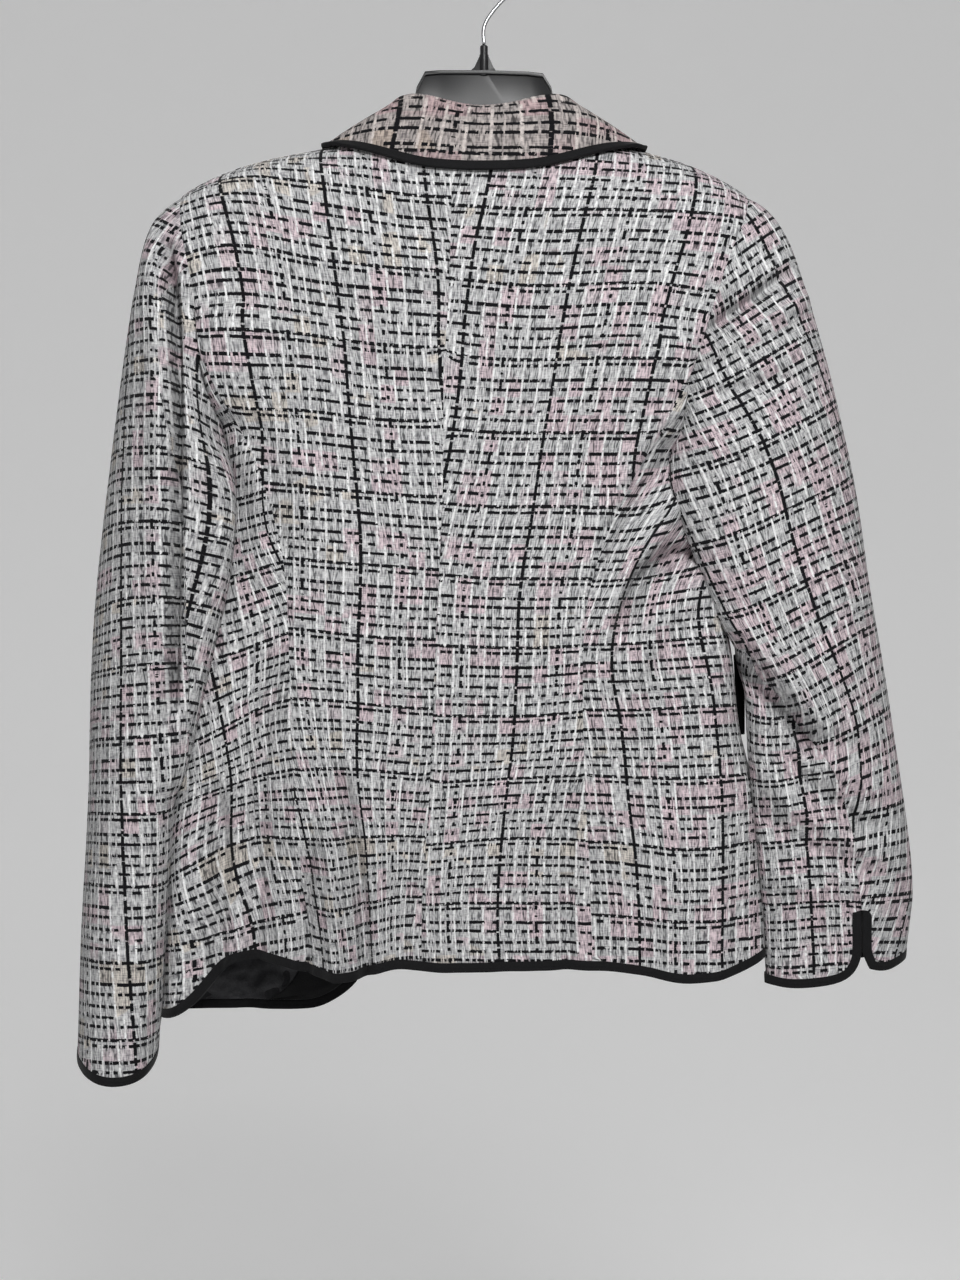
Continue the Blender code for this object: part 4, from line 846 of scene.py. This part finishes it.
def tweed_material(name, tone, relief):
    """Loose checked tweed: dark broken rows and dark warp yarns on pale ground, under thick white warps."""
    w = Weaver(name)
    choice = w.add("ShaderNodeMix", data_type="VECTOR")
    under = w.add("ShaderNodeAttribute", attribute_name="under_side").outputs["Fac"]
    w.put(choice.inputs[0], w.above(under, 0.0))
    for socket, layer in zip(choice.inputs[4:6], ("UVMap", "under")):
        w.put(socket, w.add("ShaderNodeUVMap", uv_map=layer).outputs[0])
    across, lowered = w.split(choice.outputs[1])[:2]
    down = w.math("ADD", lowered, WEFT_START / WEFT_REPEAT)

    def threads(name):
        x_scale, y_scale, z, detail = NOISES[name]
        return w.noise(w.vector(w.times(across, x_scale), w.times(down, y_scale), z), 1.0, detail)

    def centred(value):
        return w.less(value, 0.5)

    def swayed(coordinate, sways):
        for name, reach in sways:
            coordinate = w.times_plus(centred(threads(name)), reach, coordinate)
        return coordinate

    def step(name, value):
        return w.ramp(value, STEPS[name])

    warp, weft = swayed(across, WARP_SWAY), swayed(down, WEFT_SWAY)
    warp_place, weft_place = w.math("FRACT", warp), w.math("FRACT", weft)

    # Charted yarns.
    grey_band = w.ramp(warp_place, yarn_stops("grey warp"))
    dashed = w.ramp(warp_place, yarn_stops("dashed warp"))
    dashed = w.times(dashed, w.ramp(weft_place, span_stops(WARP_DASHES, SOFT_DASH)))
    shifted = w.math("FRACT", w.math("ADD", warp, SOLID_SHIFT))
    solid = w.ramp(shifted, yarn_stops("solid warp", shift=SOLID_SHIFT))
    change = w.ramp(weft_place, span_stops(WHITE_CHANGE, SOFT_CHANGE))
    above = w.times(w.ramp(warp_place, yarn_stops("white warp above")), w.less(1.0, change))
    below = w.times(w.ramp(warp_place, yarn_stops("white warp below")), change)
    slub = w.math("MAXIMUM", above, below)
    row_body = w.ramp(weft_place, yarn_stops("dark weft", even=True))
    row_cover = w.ramp(weft_place, yarn_stops("dark weft", widen=COVER))
    upright, lying, fuzz = threads("upright threads"), threads("lying threads"), threads("fuzz")
    patch = threads("patches")

    # Dark rows: closed on the grey bands, dashed between them, and under the white yarn nearly everywhere.
    beat, row_number = w.times(warp, BARS), w.math("FLOOR", w.times(weft, ROW_CELLS))
    dash = w.chance(w.math("FLOOR", beat), row_number)
    dash = w.times_plus(centred(upright), ROUGH_BARS, dash)
    bars = w.above(w.times_plus(patch, PATCHY_BARS, row_cover), w.less(dash, BAR_BIAS))
    parted = w.above(w.chance(w.math("ROUND", beat), row_number, PARTED_CHANCE), PARTED_LIMIT)
    gaps = w.times(step("between bars", w.math("FRACT", beat)), parted)
    open_rows = w.times(w.times(bars, w.less(1.0, gaps)), OPEN_BARS)
    closed = w.above(w.times_plus(upright, ROUGH_BANDS, grey_band), CLOSED_LIMIT)
    rows = w.times(row_body, w.math("MAXIMUM", open_rows, closed))
    covered = w.times(slub, w.above(threads("white over rows"), OVER_LIMIT))
    rows = w.times(rows, w.less(1.0, covered))
    worn = w.times_plus(lying, WEAR_MIX[0], w.times(threads("wear"), WEAR_MIX[1]))
    poles = w.times(w.math("MAXIMUM", solid, dashed), step("dark warps", worn))
    dark = w.times_plus(centred(fuzz), FUZZY_EDGES, w.math("MAXIMUM", rows, poles))

    # Pale ground with grey threads, and blocks of pink and sand.
    pale = w.times_plus(lying, GROUND_MIX[0], w.times(upright, GROUND_MIX[1]))
    ground = w.mix(step("ground", pale), linear(GROUND[0]), linear(GROUND[1]))
    banded = w.mix(step("band strokes", upright), linear(GROUND[2]), linear(GROUND[3]))
    ground = w.mix(w.times(grey_band, step("band patches", patch)), ground, banded)
    block = [w.math("FLOOR", w.times(value, count)) for value, count in zip((warp, weft), BLOCKS)]
    tint = w.times_plus(centred(threads("tint")), TINT_SPREAD, w.chance(*block))
    where = w.split(w.place())
    tint = w.math("ADD", tint, step("pinker side", w.math("ADD", where[0], 0.5)))
    sandy = step("sandy shoulders", w.math("ADD", where[2], 1.0))
    pink, sand = step("pink", tint), step("sand", w.less(tint, sandy))
    for share, colour in zip((pink, sand), TINTS):
        ground = w.mix(share, ground, w.mix(1.0, ground, colour, "MULTIPLY"))
    white = w.mix(step("white threads", fuzz), linear(GROUND[4]), linear(GROUND[5]))
    cloth = w.mix(w.times(slub, step("white wear", threads("white wear"))), ground, white)
    black = w.mix(fuzz, linear(DARK[0]), linear(DARK[1]))
    # The tone multiplies the cloth. It is white for the panels. For the collar it is painted shade, because
    # the collar's cloth faces up away from the light, together with a warmer tint that is the collar's own
    # colour.
    colour = w.mix(step("dark yarns", dark), w.mix(1.0, cloth, tone, "MULTIPLY"), black)
    w.put(w.shader.inputs["Base Color"], colour)

    raised = w.ramp(w.math("FRACT", across), yarn_stops("white warp above"))
    ribs = w.ramp(w.math("FRACT", down), yarn_stops("dark weft", even=True))
    height = w.times_plus(raised, RELIEF_MIX[0], w.times(ribs, RELIEF_MIX[1]))
    w.bump(w.times_plus(fuzz, RELIEF_MIX[2], height), relief)
    w.set(roughness=0.95, specular_ior_level=0.1, sheen_weight=0.05, sheen_roughness=0.5)
    return w.material


def plain_material(name):
    """A fine plain cloth, plastic or steel with a soft grain."""
    row = next(row for row in FINISHES if row["name"] == name)
    w = Weaver(name)
    grain = w.noise(w.place(), row["scale"], row["detail"])
    w.put(w.shader.inputs["Base Color"], w.mix(grain, linear(row["dark"]), linear(row["light"])))
    w.bump(grain, row["relief"] * MM, row["strength"])
    w.set(
        roughness=row["roughness"],
        specular_ior_level=row["specular"],
        sheen_weight=row["sheen"],
        sheen_roughness=0.4,
        metallic=row["metallic"],
    )
    return w.material


# Pieces.


def refine(sheet, levels):
    """Rounds a sheet of CAD quads into a fine smooth one."""
    apply_modifier(sheet, "SUBSURF", levels=levels, render_levels=levels, boundary_smooth="PRESERVE_CORNERS")


def smooth(item, angle):
    """Shades an object smooth, apart from its sharp edges."""
    only(item)
    bpy.ops.object.shade_smooth_by_angle(angle=angle)


def finish_cloth(sheet, row, cloth, nodes):
    """Gives a shaped sheet its cloth, its folds and its wall, and puts it in place of its CAD nodes."""
    mesh = sheet.data
    mesh.materials.clear()
    mesh.materials.append(cloth)
    mesh.materials.append(bpy.data.materials["inside"])
    widen_rims(sheet, SEAM_OVERLAP)
    shape_folds(sheet, *folds_of(nodes[0]))
    wall = row["thickness"] * MM
    apply_modifier(sheet, "SOLIDIFY", thickness=wall, offset=-1.0, material_offset=1, material_offset_rim=0)
    apply_modifier(sheet, "BEVEL", width=RIM_BEVEL, segments=2, limit_method="ANGLE", angle_limit=CLOTH_ANGLE)
    smooth(sheet, CLOTH_ANGLE)
    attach(sheet, "root")
    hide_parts(*nodes)


def make_panel(row, cloth):
    """One tweed panel: a thin shell on the outer side of its CAD wall."""
    sheet = outer_side(row["node"], row["thickness"] * MM, row["facing"])
    lay_flat(sheet)
    refine(sheet, COARSE_LEVELS if row["node"] in COARSE else FINE_LEVELS)
    align_yarns(sheet, row["node"], "UVMap")
    finish_cloth(sheet, row, cloth, [row["node"]])


def under_side(item):
    """How far each point of the right sleeve lies past its hind seam, towards the body, in metres."""
    points, normals = points_of(item), normals_of(item)
    seen = seen_place(points)
    hidden = squareness(points, normals) <= 0
    path = np.reshape(RIGHT_HIND_SEAM, (-1, 2)) * MM
    best = np.full(len(points), FAR)
    side = np.zeros(len(points))
    for start, end in zip(path, path[1:]):
        along = end - start
        share = np.clip((seen - start) @ along / (along @ along), 0, 1)
        off = seen - start - share[:, None] * along
        gap = np.hypot(*off.T)
        turn = along[0] * off[:, 1] - along[1] * off[:, 0]
        closer = gap < best
        best[closer] = gap[closer]
        side[closer] = -np.sign(turn[closer]) * gap[closer]
    inner = np.zeros(len(points), dtype=bool)
    halves = item.data.attributes["part"].data
    for face in item.data.polygons:
        if halves[face.index].value == 1:
            inner[list(face.vertices)] = True
    side[hidden] = np.where(inner[hidden], SEAM_SIDE, -SEAM_SIDE)
    above = ~hidden & (seen[:, 1] > path[0, 1]) & (side > 0)
    side[above] = -SEAM_SIDE
    return side


def make_right_sleeve(rows, cloth):
    """The right sleeve as one sheet, whose hind seam turns over the elbow from the body side to the vent."""
    parts = [outer_side(row["node"], row["thickness"] * MM, row["facing"]) for row in rows]
    for index, part in enumerate(parts):
        origin = part.data.attributes.new("part", "INT", "FACE")
        origin.data.foreach_set("value", [index] * len(part.data.polygons))
    only(*parts)
    bpy.ops.object.join()
    sheet = bpy.context.view_layer.objects.active
    sheet.name = sheet.data.name = "sleeve_right_cloth"
    mesh = bmesh.new()
    mesh.from_mesh(sheet.data)
    for edge in mesh.edges:
        edge.seam = edge.is_boundary
    bmesh.ops.remove_doubles(mesh, verts=mesh.verts, dist=SEAM_JOIN)
    mesh.normal_update()
    for edge in mesh.edges:
        edge.seam = edge.seam and not edge.is_boundary and sum(vertex.normal.y for vertex in edge.verts) > 0
    mesh.to_mesh(sheet.data)
    mesh.free()
    lay_flat(sheet)
    refine(sheet, FINE_LEVELS)
    flat = [corner.uv.copy() for corner in sheet.data.uv_layers["UVMap"].data]
    second = sheet.data.uv_layers.new(name="under")
    for corner, place in zip(second.data, flat):
        corner.uv = place
    align_yarns(sheet, "upper_sleeve_right", "UVMap")
    align_yarns(sheet, "forearm_right", "under")
    sides = sheet.data.attributes.new("under_side", "FLOAT", "POINT")
    sides.data.foreach_set("value", under_side(sheet))
    facts = dict(rows[0], flat=SLEEVE_FLAT, area=rows[0]["area"] + rows[1]["area"])
    finish_cloth(sheet, facts, cloth, [row["node"] for row in rows])


def make_piece(node, row, material):
    """A folded tape, a plain piece or a moulded part: its CAD solid with rounded edges and smooth lines."""
    mesh = merged_copy(node)
    bmesh.ops.join_triangles(
        mesh, faces=mesh.faces[:], angle_face_threshold=JOIN_ANGLE, angle_shape_threshold=math.pi
    )
    item = new_object(node + "_piece", mesh)
    if row["width"]:
        width = row["width"] * MM
        apply_modifier(item, "BEVEL", width=width, segments=2, limit_method="ANGLE", angle_limit=EDGE_ANGLE)
    if row["levels"]:
        apply_modifier(item, "SUBSURF", levels=row["levels"], render_levels=row["levels"])
    if not node.startswith("hanger"):
        shape_folds(item, *folds_of(node))
        points = points_of(item)
        for size, height in row["crinkle"]:
            points[:, 1] += rumple(points, size, height)
        move_points(item, points)
    smooth(item, PIECE_ANGLE)
    item.data.materials.append(material)
    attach(item, "root")
    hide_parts(node)


def make_pieces(slots):
    """Every piece of some slots, each with its slot's material."""
    materials = {slot: plain_material(slot) for slot in slots}
    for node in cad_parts:
        for row in PIECES:
            if row["slot"] in slots and row["key"] in node:
                make_piece(node, row, materials[row["slot"]])


# The add-on.


class TweedSettings(bpy.types.PropertyGroup):
    """Sizes and colours of the tweed, and the painted shade of the collar."""

    relief: FloatProperty(
        name="Relief",
        description="How far the thick yarns stand out",
        default=0.0006,
        unit="LENGTH",
    )
    # The collar's tone darkens the collar as painted shade, because its cloth faces up away from the light,
    # and warms it a little to its own colour.
    collar_shade_and_tint: FloatVectorProperty(
        name="Collar tone",
        description="How much of the cloth's colour is left on the worn collar",
        default=(0.73, 0.66, 0.63),
        subtype="COLOR",
        size=3,
    )


class StudioSettings(bpy.types.PropertyGroup):
    """Light and backdrop."""

    backdrop: FloatVectorProperty(
        name="Backdrop",
        description="Colour of the floor and backdrop",
        default=(0.86, 0.86, 0.86),
        subtype="COLOR",
        size=3,
    )
    light_power: FloatProperty(
        name="Light",
        description="Power of the main soft light",
        default=10.0,
        unit="POWER",
    )


class JACKET_OT_tweed(bpy.types.Operator):
    """Dress every tweed panel"""

    bl_idname = "jacket.tweed"
    bl_label = "Tweed panels"

    def execute(self, context):
        settings = context.scene.jacket_tweed
        cloth = tweed_material("tweed", (1.0, 1.0, 1.0), settings.relief)
        shaded_collar_cloth = tweed_material("tweed_collar_painted_shade", tuple(settings.collar_shade_and_tint), settings.relief)
        plain_material("inside")
        right_sleeve = [row for row in PANELS if "sleeve_right" in row["node"]]
        for row in PANELS:
            if row not in right_sleeve:
                make_panel(row, shaded_collar_cloth if row["node"] == "collar" else cloth)
        make_right_sleeve(right_sleeve, cloth)
        return {"FINISHED"}


class JACKET_OT_tapes(bpy.types.Operator):
    """Dress the black bindings and the inside of the front"""

    bl_idname = "jacket.tapes"
    bl_label = "Bindings and lining"

    def execute(self, context):
        make_pieces(("binding", "facing", "lining"))
        return {"FINISHED"}


class JACKET_OT_hanger(bpy.types.Operator):
    """Dress the hanger and its hook"""

    bl_idname = "jacket.hanger"
    bl_label = "Hanger"

    def execute(self, context):
        make_pieces(("hanger_plastic", "hook_steel"))
        return {"FINISHED"}


class JACKET_OT_studio(bpy.types.Operator):
    """Set the pale floor, the soft lights and the camera"""

    bl_idname = "jacket.studio"
    bl_label = "Studio"

    def execute(self, context):
        settings = context.scene.jacket_studio
        w = Weaver("backdrop")
        behind = w.times_plus(w.split(w.place())[1], GLOW_SCALE, 0.5)
        w.put(w.shader.inputs["Emission Strength"], w.ramp(behind, GLOW))
        w.set(base_color=tuple(settings.backdrop), roughness=0.9, emission_color=(1.0, 1.0, 1.0))
        bowl = bmesh.new()
        rows = [bowl.verts.new((radius, 0.0, height)) for radius, height in BOWL]
        edges = [bowl.edges.new(pair) for pair in zip(rows, rows[1:])]
        turn = dict(cent=(0, 0, 0), axis=(0, 0, 1), angle=math.tau, steps=BOWL_STEPS, use_merge=True)
        bmesh.ops.spin(bowl, geom=rows + edges, **turn)
        bmesh.ops.holes_fill(bowl, edges=bowl.edges[:], sides=BOWL_STEPS)
        floor = new_object("floor", bowl)
        floor.data.materials.append(w.material)
        only(floor)
        bpy.ops.object.shade_smooth()
        for row in LIGHTS:
            light = bpy.data.lights.new(row["name"], "AREA")
            light.energy = settings.light_power * row["power"]
            light.size = row["size"]
            light.spread = LIGHT_SPREAD
            lamp = bpy.data.objects.new(row["name"], light)
            lamp.location = row["place"]
            lamp.rotation_euler = (CAMERA_TARGET - lamp.location).to_track_quat("-Z", "Y").to_euler()
            context.scene.collection.objects.link(lamp)
        world = bpy.data.worlds.new("studio")
        world.use_nodes = True
        background = world.node_tree.nodes["Background"]
        background.inputs["Color"].default_value = (1, 1, 1, 1)
        background.inputs["Strength"].default_value = WORLD_LIGHT
        context.scene.world = world
        context.scene.view_settings.view_transform = "Standard"
        context.scene.cycles.max_bounces = BOUNCES
        context.scene.cycles.diffuse_bounces = SOFT_BOUNCES
        view = bpy.data.cameras.new("camera")
        view.sensor_fit = "VERTICAL"
        view.sensor_height = CAMERA_SENSOR
        view.lens = CAMERA_LENS
        camera = bpy.data.objects.new("camera", view)
        camera.location = CAMERA_TARGET + Vector((0, -CAMERA_DISTANCE, 0))
        camera.rotation_euler = (math.pi / 2, 0, 0)
        context.scene.collection.objects.link(camera)
        context.scene.camera = camera
        return {"FINISHED"}


class JACKET_PT_panel(bpy.types.Panel):
    """Settings and steps of the jacket"""

    bl_idname = "JACKET_PT_panel"
    bl_label = "Jacket"
    bl_space_type = "VIEW_3D"
    bl_region_type = "UI"
    bl_category = "Jacket"

    def draw(self, context):
        layout = self.layout
        scene = context.scene
        layout.prop(scene.jacket_tweed, "relief")
        layout.prop(scene.jacket_tweed, "collar_shade_and_tint")
        layout.operator("jacket.tweed")
        layout.operator("jacket.tapes")
        layout.operator("jacket.hanger")
        layout.prop(scene.jacket_studio, "backdrop")
        layout.prop(scene.jacket_studio, "light_power")
        layout.operator("jacket.studio")


CLASSES = (
    TweedSettings,
    StudioSettings,
    JACKET_OT_tweed,
    JACKET_OT_tapes,
    JACKET_OT_hanger,
    JACKET_OT_studio,
    JACKET_PT_panel,
)


def register():
    for item in CLASSES:
        bpy.utils.register_class(item)
    bpy.types.Scene.jacket_tweed = PointerProperty(type=TweedSettings)
    bpy.types.Scene.jacket_studio = PointerProperty(type=StudioSettings)


def unregister():
    del bpy.types.Scene.jacket_tweed
    del bpy.types.Scene.jacket_studio
    for item in reversed(CLASSES):
        bpy.utils.unregister_class(item)


def main():
    """Registers the add-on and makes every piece."""
    register()
    bpy.ops.jacket.tweed()
    bpy.ops.jacket.tapes()
    bpy.ops.jacket.hanger()
    bpy.ops.jacket.studio()


if __name__ == "__main__":
    main()
